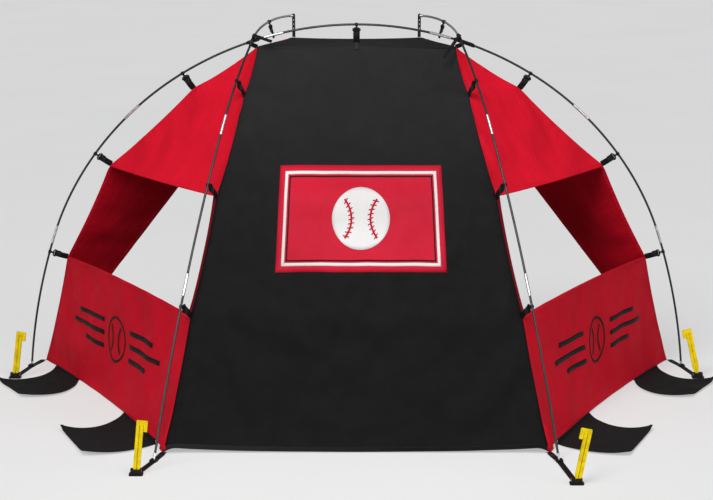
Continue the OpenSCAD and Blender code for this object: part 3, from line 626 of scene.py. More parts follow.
def roughBetween(material, amount, low, high):
    spread = addNode(material, "MapRange", {"Value": amount, "From Min": 0.3, "From Max": 0.7,
                                            "To Min": low, "To Max": high})
    plug(material, "Roughness", spread.outputs["Result"])


def bumped(material, height, distance, strength=1.0, under=None):
    inputs = {"Height": height, "Distance": distance, "Strength": strength}
    if under is not None:
        inputs["Normal"] = under
    return addNode(material, "Bump", inputs).outputs["Normal"]


def threads(material, where, pitch, way):
    return addNode(material, "TexWave", {"Vector": where, "Scale": 1 / pitch / 3.18, "Distortion": 0.4,
                                         "Detail": 1.0, "Detail Scale": 2.0},
                   bands_direction=way, wave_profile="SIN").outputs["Fac"]


# ripples that stand square to the rims and die away from them
def rimPuckers(material, where, look):
    rimMap = addNode(material, "UVMap", uv_map="rims").outputs["UV"]
    rims = addNode(material, "SeparateXYZ", {"Vector": rimMap})
    ripples = []
    for label, stretch in (("Y", (34, 5, 1)), ("X", (5, 34, 1))):
        near = addNode(material, "MapRange", {"Value": rims.outputs[label], "From Min": 0.0,
                                              "From Max": look["puckerReach"], "To Min": 1.0, "To Max": 0.0},
                       interpolation_type="SMOOTHSTEP").outputs["Result"]
        wave = speckle(material, where, 1.0, 2, stretch)
        ripples.append(mathNode(material, "MULTIPLY", near, wave))
    return mathNode(material, "ADD", *ripples)


# the optional pair paints the cloth lighter towards its top edge, as painted light from above: how many times
# lighter at the top edge, and how far down in metres that reaches
def clothMaterial(name, color, roughness, look, gloss, puckered=True, paintedTopLight=None):
    material = newMaterial(name, color, roughness, Specular_IOR_Level=gloss)
    where = metresMap(material)
    clouds = speckle(material, where, 2.2, 4)
    dark = tuple(value * look["dark"] for value in color)
    light = tuple(min(1, value * look["light"]) for value in color)
    shade = shadeBetween(material, clouds, dark, light)
    # painted light: the colour is multiplied up towards the top edge
    if paintedTopLight:
        down = addNode(material, "SeparateXYZ", {"Vector": where}).outputs["Y"]
        paintedLightScale = addNode(material, "MapRange", {"Value": down, "From Min": 0.0, "From Max": paintedTopLight[1],
                                                "To Min": paintedTopLight[0], "To Max": 1.0}).outputs["Result"]
        shade = addNode(material, "VectorMath", {0: shade, 1: paintedLightScale}, operation="MULTIPLY").outputs["Vector"]
    plug(material, "Base Color", shade)
    roughBetween(material, speckle(material, where, 14, 5), roughness - 0.06, roughness + 0.08)
    creases = speckle(material, where, 5, 2, (1, 0.35, 1))
    crinkles = speckle(material, where, 26, 2, (1, 0.6, 1))
    normal = bumped(material, crinkles, look["crinkle"], 1.0, bumped(material, creases, look["crease"]))
    if puckered:
        normal = bumped(material, rimPuckers(material, where, look), look["pucker"], 1.0, normal)
    weave = mathNode(material, "MULTIPLY", threads(material, where, look["thread"], "X"),
                     threads(material, where, look["thread"], "Y"))
    plug(material, "Normal", bumped(material, weave, look["thread"] * 0.35, 0.5, normal))
    return material


clothLook = {
    "thread": 0.0011,
    "dark": 0.9,
    "light": 1.08,
    "crease": 0.013,
    "crinkle": 0.0034,
    "pucker": 0.0045,
    "puckerReach": 0.11,        # the ripples end this far from a rim, in metres
}
clothColors = {
    "red": (0.60, 0.0058, 0.021),
    # the inner faces get a darker copy of the red cloth: painted shade
    "redInsidePaintedShade": (0.49, 0.0040, 0.0155),
    # the strip behind each window gets a much darker red than the cloth: painted shade
    "redJambPaintedShade": (0.15, 0.0035, 0.0095),
    "black": (0.0064, 0.0061, 0.0063),
    "blackInside": (0.0105, 0.0100, 0.0102),
    "flap": (0.0102, 0.0126, 0.0130),
    "white": (0.64, 0.63, 0.625),
    "redPrint": (0.47, 0.0072, 0.0260),
}
redCloth = clothMaterial("redCloth", clothColors["red"], 0.62, clothLook, 0.05)
redInsidePaintedShade = clothMaterial("redClothInsidePaintedShade", clothColors["redInsidePaintedShade"], 0.75, clothLook, 0.05)
redJambPaintedShade = clothMaterial("redJambPaintedShade", clothColors["redJambPaintedShade"], 0.75, clothLook, 0.05)
# the black cloth is painted 2.7 times lighter at its top edge, down to its own colour a metre below: painted
# light from above
blackCloth = clothMaterial("blackCloth", clothColors["black"], 0.62, clothLook, 0.07, paintedTopLight=(2.7, 1.0))
blackInside = clothMaterial("blackClothInside", clothColors["blackInside"], 0.75, clothLook, 0.1)
flapCloth = clothMaterial("flapCloth", clothColors["flap"], 0.75, clothLook, 0.1, False)
whitePrint = clothMaterial("whitePrint", clothColors["white"], 0.55, clothLook, 0.1, False)
redPrint = clothMaterial("redPrint", clothColors["redPrint"], 0.55, clothLook, 0.1, False)
blackPrint = clothMaterial("blackPrint", clothColors["black"], 0.55, clothLook, 0.1, False)

stitching = {
    "length": 0.0032,           # from one stitch to the next
    "width": 0.0011,
    "depth": 0.0007,
    "share": 0.68,              # of each length that shows thread
}


# sewn bands: the cloth with lines of stitches along it, at distances in metres from the edge
def sewnMaterial(name, base, lines, thread):
    material = base.copy()
    material.name = name
    tree = material.node_tree
    shader = tree.nodes["Principled BSDF"]
    where = addNode(material, "SeparateXYZ", {"Vector": metresMap(material)})
    across, along = where.outputs["X"], where.outputs["Y"]
    near = []
    for line in lines:
        away = mathNode(material, "ABSOLUTE", mathNode(material, "SUBTRACT", across, line))
        near.append(mathNode(material, "LESS_THAN", away, stitching["width"] / 2))
    row = near[0]
    for other in near[1:]:
        row = mathNode(material, "MAXIMUM", row, other)
    gap = mathNode(material, "LESS_THAN", mathNode(material, "FRACT", mathNode(
        material, "DIVIDE", along, stitching["length"])), stitching["share"])
    mask = mathNode(material, "MULTIPLY", row, gap)
    plain = shader.inputs["Base Color"].links[0].from_socket
    mixer = addNode(material, "MixRGB", {"Fac": mask, "Color1": plain, "Color2": (*thread, 1)})
    plug(material, "Base Color", mixer.outputs["Color"])
    before = shader.inputs["Normal"].links[0].from_socket
    plug(material, "Normal", bumped(material, mask, stitching["depth"], 0.8, before))
    return material


hemLines = (0.003, 0.0165)
redThread = (0.40, 0.005, 0.014)
blackThread = (0.035, 0.033, 0.035)
redHem = sewnMaterial("redHem", redCloth, hemLines, redThread)
jambHemPaintedShade = sewnMaterial("jambHemPaintedShade", redJambPaintedShade, hemLines, redThread)
# the black hem copies the black cloth, painted top light included
blackHem = sewnMaterial("blackHem", blackCloth, hemLines, blackThread)
flapHem = sewnMaterial("flapHem", flapCloth, (0.002, 0.0115), blackThread)


def webbingMaterial(name, color):
    material = newMaterial(name, color, 0.65, Specular_IOR_Level=0.14)
    where = metresMap(material)
    plug(material, "Base Color", shadeBetween(material, speckle(material, where, 60, 4),
                                              tuple(value * 0.7 for value in color),
                                              tuple(value * 1.5 for value in color)))
    roughBetween(material, speckle(material, where, 25, 3), 0.52, 0.72)
    ribs = mathNode(material, "ADD", threads(material, where, 0.0026, "X"),
                    mathNode(material, "MULTIPLY", threads(material, where, 0.0018, "Y"), 0.7))
    plug(material, "Normal", bumped(material, ribs, 0.0006, 0.9))
    return material


webbing = webbingMaterial("webbing", (0.0042, 0.0042, 0.0045))
greyWebbing = webbingMaterial("greyWebbing", (0.022, 0.022, 0.0235))
threadMaterial = newMaterial("sewingThread", (0.04, 0.04, 0.042), 0.5, Sheen_Weight=0.1)
plug(threadMaterial, "Base Color", shadeBetween(threadMaterial, speckle(
    threadMaterial, objectPoint(threadMaterial), 900), (0.026, 0.026, 0.028), (0.05, 0.05, 0.053)))


def mouldedMaterial(name, color, roughness, grain, **inputs):
    material = newMaterial(name, color, roughness, **inputs)
    where = objectPoint(material)
    plug(material, "Base Color", shadeBetween(material, speckle(material, where, 40, 4),
                                              tuple(value * 0.82 for value in color),
                                              tuple(min(1, value * 1.12) for value in color)))
    roughBetween(material, speckle(material, where, 90, 5), roughness - 0.07, roughness + 0.1)
    fine = bumped(material, speckle(material, where, 1400, 2), grain, 0.5)
    plug(material, "Normal", bumped(material, speckle(material, where, 70, 3), grain * 3, 0.4, fine))
    return material


blackPlastic = mouldedMaterial("blackPlastic", (0.0055, 0.0055, 0.0058), 0.38, 0.0001,
                               Specular_IOR_Level=0.24)
rubber = mouldedMaterial("blackRubber", (0.0055, 0.0055, 0.0055), 0.6, 0.00022, Specular_IOR_Level=0.2)
pegPlastic = mouldedMaterial("pegPlastic", (0.88, 0.66, 0.003), 0.42, 0.00012, Specular_IOR_Level=0.2)


# pultruded rod: fine lengthwise fibres under a clear skin, with rubbed patches
def poleMaterial(name, color, roughness, coat):
    material = newMaterial(name, color, roughness, Coat_Weight=coat, Coat_Roughness=0.2)
    where = objectPoint(material)
    plug(material, "Base Color", shadeBetween(material, speckle(material, where, 9, 5),
                                              tuple(value * 0.6 for value in color),
                                              tuple(value * 1.7 for value in color), 0.3, 0.75))
    roughBetween(material, speckle(material, where, 30, 4), roughness - 0.08, roughness + 0.14)
    plug(material, "Normal", bumped(material, speckle(material, where, 700, 2), 0.00015, 0.6))
    return material


poleFibre = poleMaterial("poleFibre", (0.006, 0.006, 0.0065), 0.36, 0.08)
# the visor poles' mid grey base colour is a painted highlight on black fibre
visorPaintedHighlight = poleMaterial("visorPaintedHighlight", (0.10, 0.10, 0.104), 0.3, 0.4)

# drawn steel tube: scratches along it and a few dull patches
ferruleSteel = newMaterial("ferruleSteel", (0.66, 0.66, 0.67), 0.3, Metallic=1.0)
steelPoint = objectPoint(ferruleSteel)
plug(ferruleSteel, "Base Color", shadeBetween(ferruleSteel, speckle(ferruleSteel, steelPoint, 45, 5),
                                              (0.48, 0.48, 0.49), (0.76, 0.76, 0.77)))
roughBetween(ferruleSteel, speckle(ferruleSteel, steelPoint, 120, 5), 0.2, 0.44)
plug(ferruleSteel, "Normal", bumped(ferruleSteel, speckle(ferruleSteel, steelPoint, 500, 4), 0.00012, 0.5))

# braided elastic: crossed diagonal yarns
elasticCord = newMaterial("elasticCord", (0.03, 0.03, 0.032), 0.7, Sheen_Weight=0.3)
cordPoint = objectPoint(elasticCord)
plug(elasticCord, "Base Color", shadeBetween(elasticCord, addNode(
    elasticCord, "TexChecker", {"Vector": cordPoint, "Scale": 900}).outputs["Fac"],
    (0.012, 0.012, 0.013), (0.16, 0.16, 0.165), 0.4, 0.6))
plug(elasticCord, "Normal", bumped(elasticCord, speckle(elasticCord, cordPoint, 1200), 0.0003))
print("materials made")

# the panels
# long soft creases, each from one place to another given as shares across and down, with width and depth
creases = {
    "back_panel": [
        ((0.01, 0.00), (0.20, 0.15), 0.030, 0.007), ((0.00, 0.01), (0.10, 0.26), 0.034, 0.006),
        ((0.01, 0.00), (0.34, 0.09), 0.026, 0.005), ((0.99, 0.00), (0.83, 0.16), 0.030, 0.007),
        ((1.00, 0.01), (0.91, 0.24), 0.034, 0.006), ((0.99, 0.00), (0.68, 0.08), 0.026, 0.005),
        ((0.02, 0.99), (0.24, 0.86), 0.045, 0.006), ((0.98, 0.99), (0.80, 0.88), 0.045, 0.006),
        ((0.30, 0.50), (0.42, 0.93), 0.060, 0.005), ((0.72, 0.55), (0.62, 0.95), 0.060, 0.005),
    ],
    "left_upper_panel": [
        ((0.50, 0.06), (0.46, 0.80), 0.030, 0.005), ((0.50, 0.06), (0.70, 0.95), 0.034, 0.006),
        ((0.95, 0.96), (0.55, 0.72), 0.030, 0.005), ((0.04, 0.96), (0.40, 0.80), 0.030, 0.004),
    ],
    "right_upper_panel": [
        ((0.50, 0.06), (0.56, 0.84), 0.030, 0.005), ((0.50, 0.06), (0.30, 0.90), 0.034, 0.005),
        ((0.95, 0.96), (0.60, 0.76), 0.030, 0.005),
    ],
    "left_lower_panel": [
        ((0.98, 0.03), (0.62, 0.42), 0.034, 0.006), ((0.03, 0.04), (0.26, 0.40), 0.034, 0.006),
        ((0.99, 0.97), (0.70, 0.55), 0.040, 0.006), ((0.70, 0.02), (0.64, 0.34), 0.026, 0.004),
        ((0.82, 0.02), (0.77, 0.40), 0.026, 0.005),
    ],
    "right_lower_panel": [
        ((0.98, 0.03), (0.66, 0.38), 0.034, 0.006), ((0.03, 0.04), (0.22, 0.44), 0.034, 0.006),
        ((0.99, 0.97), (0.74, 0.50), 0.040, 0.006), ((0.60, 0.02), (0.57, 0.36), 0.026, 0.005),
    ],
    "left_front_strip": [
        ((0.95, 0.30), (0.20, 0.55), 0.036, 0.005),
        ((0.90, 0.72), (0.30, 0.60), 0.036, 0.005),
    ],
    "right_front_strip": [
        ((0.95, 0.34), (0.25, 0.52), 0.036, 0.005),
        ((0.90, 0.70), (0.30, 0.56), 0.036, 0.005),
    ],
}


def pressCreases(points, numbers):
    pressed = points.copy()
    for name, lines in creases.items():
        grid = points[numbers[name]]
        rows, columns = grid.shape[0] - 1, grid.shape[1] - 1
        row, column = np.ogrid[:rows + 1, :columns + 1]
        fromRim = np.minimum(np.minimum(row, rows - row), np.minimum(column, columns - column))
        inside = np.minimum(1, fromRim / 2)
        toHeart = heart - grid
        toHeart = toHeart / np.linalg.norm(toHeart, axis=2)[:, :, None]
        for start, end, width, depth in lines:
            a, b = (grid[round(place[1] * rows), round(place[0] * columns)] for place in (start, end))
            share = np.clip((grid - a) @ (b - a) / np.dot(b - a, b - a), 0, 1)
            away = np.linalg.norm(grid - a - share[:, :, None] * (b - a), axis=2)
            fading = np.minimum(1, share * 8) * (1 - share) ** 0.7
            press = depth * np.exp(-(away / width) ** 2) * fading * inside
            pressed[numbers[name]] += toHeart * press[:, :, None]
    return pressed


grids = makePanelGrids()
points, panelNumbers = joinPanels(grids)
settled = pressCreases(settleCloth(points, panelNumbers), panelNumbers)
panels = {name: settled[numbers] for name, numbers in panelNumbers.items()}
print(f"cloth settled: {len(points)} points, furthest {np.linalg.norm(settled - points, axis=1).max():.4f} m")

# the hem and seam bands: their widths, and how far they stand up from the cloth, in metres
hemLook = {
    "width": 0.019,
    "jambWidth": 0.009,
    "lift": 0.0009,
    "seamWidth": 0.011,
    "seamLift": 0.0008,
}


def hemSection(width):
    lift, t = hemLook["lift"], cloth["thickness"]
    return [(width, 0.0001), (width - 0.0008, lift), (width * 0.5, lift * 1.15), (0.0012, lift), (-0.0007, 0),
            (-0.0007, -t), (0.0012, -t - lift), (width - 0.0008, -t - lift), (width, -t - 0.0001)]


def seamSection(width):
    lift = hemLook["seamLift"]
    return [(-0.0006, -0.0006), (-0.0003, lift * 1.3), (0.0015, lift * 1.7), (width * 0.5, lift * 1.1),
            (width - 0.0008, lift), (width, 0.0001), (width, -0.0004)]


# a band along one rim of a panel; inner is the next line of points on the panel
def edgeBand(build, rim, inner, section, scales=None):
    along = tangents(rim)
    ways = squareTo(along, inner - rim)
    normals = np.cross(along, ways)
    if np.sum(normals * (rim - heart)) < 0:
        normals = -normals
    sweep(build, rim, ways, normals, section, scales)


def narrowed(rim, other, width):
    return np.minimum(1, 0.4 * np.linalg.norm(other - rim, axis=1) / width)


def panelBands(name, grid):
    build = newBuild()
    hem, seam = hemSection(hemLook["width"]), seamSection(hemLook["seamWidth"])
    if name == "back_panel":
        edgeBand(build, grid[-1], grid[-2], hem)
        edgeBand(build, grid[0], grid[1], seam)
    elif name == "roof_panel":
        edgeBand(build, grid[-1], grid[-2], hem)
    elif name.endswith("upper_panel"):
        edgeBand(build, grid[-1], grid[-2], hem)
        for edge, inner, other in ((0, 1, -1), (-1, -2, 0)):
            rim = grid[2:, edge]
            edgeBand(build, rim, grid[2:, inner], seam, narrowed(rim, grid[2:, other], hemLook["seamWidth"]))
    elif name.endswith("lower_panel"):
        edgeBand(build, grid[0], grid[1], hem)
        edgeBand(build, grid[-1], grid[-2], hem)
        edgeBand(build, grid[:, 0], grid[:, 1], seam)
        edgeBand(build, grid[:, -1], grid[:, -2], seam)
    elif name.endswith("front_strip"):
        last = allRows - 2
        edgeBand(build, grid[:last, 0], grid[:last, 1], hem,
                 narrowed(grid[:last, 0], grid[:last, -1], hemLook["width"]))
        window = slice(2 * spanRows, 3 * spanRows + 1)
        edgeBand(build, grid[window, -1], grid[window, -2], hem)
    else:
        edgeBand(build, grid[:, 0], grid[:, 1], hemSection(hemLook["jambWidth"]))
    return build


# the first map holds distances along the rows and columns, the second how far each point is from a rim
def panelMesh(name, numbers):
    grid = settled[numbers]
    columns = grid.shape[1]
    acrossSteps = np.linalg.norm(np.diff(grid, axis=1), axis=2)
    runAcross = np.concatenate([np.zeros((len(grid), 1)), np.cumsum(acrossSteps, axis=1)], axis=1)
    runAcross = runAcross - runAcross[:, columns // 2][:, None]
    downSteps = np.linalg.norm(np.diff(grid, axis=0), axis=2)
    runDown = np.concatenate([np.zeros((1, columns)), np.cumsum(downSteps, axis=0)], axis=0)
    uvs = np.stack([runAcross, runDown], axis=2)
    piece = sheetObject(name, grid, uvs, looksInward(settled, numbers))
    fromSide = np.minimum(runAcross - runAcross[:, :1], runAcross[:, -1:] - runAcross)
    fromEnd = np.minimum(runDown, runDown[-1:] - runDown)
    rims = piece.data.uv_layers.new(name="rims")
    for polygon in piece.data.polygons:
        for loop, corner in zip(polygon.loop_indices, polygon.vertices):
            place = divmod(corner, columns)
            rims.data[loop].uv = (fromSide[place], fromEnd[place])
    bm = bmesh.new()
    bm.from_mesh(piece.data)
    bmesh.ops.remove_doubles(bm, verts=bm.verts, dist=1e-5)
    bm.to_mesh(piece.data)
    bm.free()
    return piece


# a kind of panel's outer cloth, inner cloth, hems and slot
def panelFinish(kind):
    if kind in ("back_panel", "roof_panel"):
        return blackCloth, blackInside, blackHem, "black_cloth"
    # the strip behind the window and its hem are painted dark red as shade
    if kind == "window_jamb":
        return redJambPaintedShade, redInsidePaintedShade, jambHemPaintedShade, "red_cloth"
    return redCloth, redInsidePaintedShade, redHem, "red_cloth"


def makePanel(name, numbers):
    kind = name.removeprefix("left_").removeprefix("right_")
    outer, inner, hem, slot = panelFinish(kind)
    piece = finishPiece(panelMesh(name + "_cloth", numbers), outer, stands=[name])
    piece.data.materials.append(inner)
    smoothed(piece)
    thickened(piece, cloth["thickness"], offset=-1, inner=1)
    bands = meshObject(name + "_hems", panelBands(name, settled[numbers]))
    smoothed(bands)
    finishPiece(bands, hem)
    return piece


panelPieces = {name: makePanel(name, numbers) for name, numbers in panelNumbers.items()}
print(f"panels sewn: {len(panelPieces)}")

# prints on the panels: a badge on the back, and a plain ball with bars on each side
badge = {
    "middleX": 0.018,
    "topZ": 1.061,
    "bottomZ": 0.662,
    "topWidth": 0.660,
    "bottomWidth": 0.692,
    "border": 0.012,
    "borderInset": 0.022,
    "pinstripe": 0.005,
    "pinstripeInset": 0.040,
}
ball = {
    "radius": 0.118,
    "seamWidth": 0.008,
    "stitchLength": 0.026,
    "stitchWidth": 0.0045,
    "sideRadius": 0.100,
    "outline": 0.011,
    "bars": ((0.058, 0.26), (0.0, 0.34), (-0.058, 0.22)),     # height from the middle, and length
    "barWidth": 0.020,
    "barGap": 0.150,
}


# how high each print lies over its panel, and its film's thickness
printLift = {
    "patch": 0.0012,
    "lines": 0.0023,
    "ball": 0.0021,
    "seams": 0.0029,
    "side": 0.0016,
}
printFilm = 0.0006


# a printed area: the panel's surface, the print's middle, its ways across and up, and the way it faces
def printArea(name, middle, facing):
    facing = unit(np.array(facing, float))
    right = unit(np.cross([0, 0, 1], facing))
    tree = BVHTree.FromObject(panelPieces[name], bpy.context.evaluated_depsgraph_get())
    return {"tree": tree, "middle": np.array(middle, float), "right": right,
            "up": np.cross(facing, right), "facing": facing}


def onArea(area, across, up, lift):
    start = area["middle"] + area["right"] * across + area["up"] * up + area["facing"] + toMiddle
    hit, normal, face, far = area["tree"].ray_cast(Vector(start), Vector(-area["facing"]))
    outward = np.array(normal) * (1 if np.dot(normal, area["facing"]) > 0 else -1)
    return np.array(hit) - toMiddle + outward * lift


# a printed shape from groups of rows of places on the area
def printShape(name, area, groups, lift, material):
    build = newBuild()
    for rows in groups:
        first, columns = len(build["points"]), len(rows[0])
        for row in rows:
            build["points"] += [onArea(area, across, up, lift) for across, up in row]
        for row in range(len(rows) - 1):
            for column in range(columns - 1):
                a = first + row * columns + column
                build["faces"].append([a, a + 1, a + columns + 1, a + columns])
                build["uvs"].append([rows[row][column], rows[row][column + 1],
                                     rows[row + 1][column + 1], rows[row + 1][column]])
    piece = meshObject(name, build)
    thickened(piece, printFilm)
    return finishPiece(piece, material)


def ring(radius, count=48):
    return [(radius * math.cos(2 * math.pi * step / count), radius * math.sin(2 * math.pi * step / count))
            for step in range(count + 1)]


def disc(radius, count=14):
    shares = np.linspace(-1, 1, count + 1)
    return [[(radius * x * math.sqrt(1 - y * y / 2), radius * y * math.sqrt(1 - x * x / 2)) for x in shares]
            for y in shares]


def bar(a, b, width, count=2):
    (ax, ay), (bx, by) = a, b
    long = math.hypot(bx - ax, by - ay)
    sideX, sideY = -(by - ay) / long * width / 2, (bx - ax) / long * width / 2
    return [[(mixed(ax, bx, share) + side * sideX, mixed(ay, by, share) + side * sideY)
             for share in np.linspace(0, 1, count)] for side in (-1, 1)]


# the ball's two curved seams, each with its stitches
def ballSeams(radius):
    groups = []
    for side in (-1, 1):
        middle, arc = side * radius * 1.28, radius * 0.92
        lines = [[(middle - side * (arc + offset) * math.cos(turn), (arc + offset) * math.sin(turn))
                  for turn in np.linspace(-0.72, 0.72, 25)] for offset in (0, ball["seamWidth"])]
        groups.append(lines)
        reach = ball["stitchLength"] * radius / ball["radius"] / 2
        for turn in np.linspace(-0.64, 0.64, 9):
            centre = arc + ball["seamWidth"] / 2
            x, y = middle - side * centre * math.cos(turn), centre * math.sin(turn)
            wayX, wayY = -side * math.cos(turn - 0.4 * side), math.sin(turn - 0.4 * side)
            groups.append(bar((x - wayX * reach, y - wayY * reach), (x + wayX * reach, y + wayY * reach),
                              ball["stitchWidth"]))
    return groups


badgeHigh = badge["topZ"] - badge["bottomZ"]
badgeMiddle = (badge["middleX"], -1, (badge["topZ"] + badge["bottomZ"]) / 2)
badgeArea = printArea("back_panel", badgeMiddle, (0, -1, 0))


def badgeWide(up, inset=0.0):
    return mixed(badge["bottomWidth"], badge["topWidth"], up / badgeHigh + 0.5) / 2 - inset


def badgeOutline(inset, count=40):
    high = badgeHigh / 2 - inset
    corners = [(-badgeWide(-high, inset), -high), (badgeWide(-high, inset), -high),
               (badgeWide(high, inset), high), (-badgeWide(high, inset), high)]
    corners.append(corners[0])
    return [(mixed(a[0], b[0], step / count), mixed(a[1], b[1], step / count))
            for a, b in zip(corners, corners[1:]) for step in range(count)] + [corners[0]]


patchRows = [[(across * badgeWide(up), up) for across in np.linspace(-1, 1, 41)]
             for up in np.linspace(-badgeHigh / 2, badgeHigh / 2, 27)]
badgeLines = {
    "badge_border": (badge["borderInset"], badge["border"], whitePrint),
    "badge_pinstripe": (badge["pinstripeInset"], badge["pinstripe"], blackPrint),
}
printShape("badge_patch", badgeArea, [patchRows], printLift["patch"], redPrint)
for name, (inset, wide, material) in badgeLines.items():
    rows = [badgeOutline(inset + step) for step in np.linspace(0, wide, 3)]
    printShape(name, badgeArea, [rows], printLift["lines"], material)
printShape("badge_ball", badgeArea, [disc(ball["radius"])], printLift["ball"], whitePrint)
printShape("badge_ball_seams", badgeArea, ballSeams(ball["radius"]), printLift["seams"], redPrint)


def makeSidePrint(side):
    grid = panels[side + "_lower_panel"]
    rows, columns = grid.shape[:2]
    middle = grid[rows // 2, int(columns * 0.46)]
    facing = np.cross(grid[rows // 2, columns - 4] - grid[rows // 2, 3], [0, 0, 1]) * [1, 1, 0]
    facing = unit(facing) * (-1 if np.dot(facing, middle - heart) < 0 else 1)
    area = printArea(side + "_lower_panel", middle, facing)
    groups = [[ring(ball["sideRadius"] + step) for step in (-ball["outline"], 0)]]
    groups += ballSeams(ball["sideRadius"] - ball["outline"])
    for high, length in ball["bars"]:
        for way in (-1, 1):
            start, end = way * ball["barGap"], way * (ball["barGap"] + length)
            groups.append(bar((start, high), (end, high), ball["barWidth"], 12))
    printShape(side + "_side_print", area, groups, printLift["side"], blackPrint)


for side in ("left", "right"):
    makeSidePrint(side)
print("prints made")


# webbing straps: folded over the hook's bar, sewn back on themselves, the long leg down to the cloth
strap = {
    "width": 0.028,
    "visorWidth": 0.012,
    "thickness": 0.0016,
    "barTop": -0.026,
    "loop": 0.0027,
    "tail": 0.026,
    "intoCloth": 0.003,
    "slack": 0.0012,
    "threadWidth": 0.0009,
    "threadThick": 0.0004,
    "boxBelowBar": 0.0145,      # the sewn box that holds the strap's tail
    "boxShare": 0.75,           # of the strap's width
    "boxHeight": 0.015,
}


def inPlace(place, points):
    return np.array([np.array(place @ Vector(point)) for point in points])


def strapPath(reach, skew):
    out = strap["loop"] + strap["thickness"] / 2
    top, low = strap["barTop"], -reach - strap["intoCloth"]
    tail = strap["tail"]
    path = [(0, out + 0.0008, top - tail), (0, out, top - tail * 0.6), (0, out, top - 0.002)]
    path += [(0, out * math.cos(turn), top + out * math.sin(turn)) for turn in np.linspace(0, math.pi, 9)]
    for share in np.linspace(0.08, 1, 12):
        slack = strap["slack"] * math.sin(math.pi * share) * (1 + 0.5 * math.sin(9 * share))
        drop = mixed(top, low, share)
        path.append((-skew * share, -out + slack + out * max(0, share - 0.8) * 4, drop))
    return path


def threadBox(build, middle, across, up, wide, high, lift):
    corners = [middle + across * x * wide / 2 + up * y * high / 2 + lift
               for x, y in ((-1, -1), (1, -1), (1, 1), (-1, 1))]
    for a, b in ((0, 1), (1, 2), (2, 3), (3, 0), (0, 2), (1, 3)):
        line = [mixed(corners[a], corners[b], share) for share in (0, 0.5, 1)]
        side = np.cross(unit(corners[b] - corners[a]), unit(lift))
        ribbon(build, line, side, strap["threadWidth"], strap["threadThick"])


def makeStraps(name, places, reach, skews, node, width):
    bands, seams = newBuild(), newBuild()
    out = strap["loop"] + strap["thickness"] + 0.0002
    box = (width * strap["boxShare"], strap["boxHeight"])
    for mirrorSide, place, skew in [(side, place, skew) for side in (1, -1)
                                    for place, skew in zip(places, skews)]:
        if mirrorSide < 0 and abs(place.translation[0]) < 1e-6:
            continue            # the strap in the middle has no twin
        along, back, up = (onSide(axisOf(place, column), mirrorSide) for column in range(3))
        ribbon(bands, onSide(inPlace(place, strapPath(reach, skew)), mirrorSide), along, width,
               strap["thickness"])
        middle = np.array(place @ Vector((-skew * 0.3, 0, strap["barTop"] - strap["boxBelowBar"])))
        middle = onSide(middle, mirrorSide)
        threadBox(seams, middle, along, up, *box, -back * out)
        threadBox(seams, middle, along, up, *box, back * (out + 0.0004))
    piece = finishPiece(meshObject(name, bands), webbing, stands=[node])
    smoothed(piece)
    finishPiece(meshObject(name + "_stitches", seams), threadMaterial)


archPlaces = [archFrame(archMiddle)] + archStrapFrames
reach, skew = cloth["strapReach"], cloth["legSkew"]
makeStraps("arch_strap_webbing", archPlaces, reach, [0] * 4, "arch_straps", strap["width"])
makeStraps("leg_strap_webbing", legStrapFrames, reach, [skew] * 3, "leg_straps", strap["width"])
makeStraps("visor_strap_webbing", [visorFrame], reach - 0.008, [0], "visor_straps", strap["visorWidth"])

# the middle strap's end, sewn down on the back of the roof seam
topEnd = {
    "width": 0.016,
    "length": 0.036,
    "thickness": 0.0014,
    "lift": (0, -0.0032, 0.0016),
}


def makeTopStrapEnd():
    middleColumn = panels["back_panel"][:, backColumns // 2]
    path = pointsAt(np.linspace(0, topEnd["length"], 7), runsAlong(middleColumn), middleColumn)
    build = newBuild()
    ribbon(build, path + topEnd["lift"], [1, 0, 0], topEnd["width"], topEnd["thickness"])
    smoothed(finishPiece(meshObject("top_strap_end", build), greyWebbing))


makeTopStrapEnd()

# ties at the hubs: webbing wound round the pole, and loose ends held on the hub's stud
tie = {
    "width": 0.015,
    "thickness": 0.0015,
    "tailZ": 0.014,             # how far out from the leg's axis the loose ends lie
    "leftLength": 0.084,
    "leftAngle": 68,            # from straight down the back panel, degrees
    "rightLength": 0.133,
    "rightAngle": 31,
    "wrapPitch": 0.0118,
    "leftWrapRadius": 0.0062,
    "rightWrapRadius": 0.0078,
    "leftWrap": 0.024,
    "rightWrap": 0.062,
    "hubHalf": 0.0175,
    "slingWidth": 0.020,
}
panelUp = unit(hubPoint - legHang[2])
tieFrame = frameFrom(legHub, (1, 0, 0), np.cross([1, 0, 0], [0, panelUp[1], panelUp[2]]))


def tiePath(length, angle):
    turn = math.radians(angle)
    path = []
    for run in np.linspace(-0.0065, length, 22):
        share = max(0, run / length)
        curl = 0.0016 * math.sin(share * 5.5) + 0.0025 * share * share
        path.append((math.sin(turn) * run, -math.cos(turn) * run, tie["tailZ"] + tie["thickness"] / 2 + curl))
    side = tieFrame.to_3x3() @ Vector((math.cos(turn), math.sin(turn), 0))
    return inPlace(tieFrame, path), np.array(side)


def tieEnd(build, length, angle, mirrorSide):
    path, side = tiePath(length, angle)
    ribbon(build, onSide(path, mirrorSide), onSide(side, mirrorSide), tie["width"], tie["thickness"])


def tieWrap(build, length, radius, mirrorSide):
    end = archMiddle - poles["hubOffset"] - tie["hubHalf"]
    turns = (length - tie["width"]) / tie["wrapPitch"]
    path, sides = [], []
    for step in range(int(turns * 20) + 1):
        share = step / int(turns * 20)
        place = archFrame(end - tie["width"] / 2 - share * (length - tie["width"]))
        turn = share * turns * 2 * math.pi
        way = axisOf(place, 1) * math.cos(turn) + axisOf(place, 2) * math.sin(turn)
        path.append(onSide(placeOf(place) + way * radius, mirrorSide))
        sides.append(onSide(axisOf(place, 0) + way * 0.07, mirrorSide))
    ribbon(build, path, sides, tie["width"], tie["thickness"])


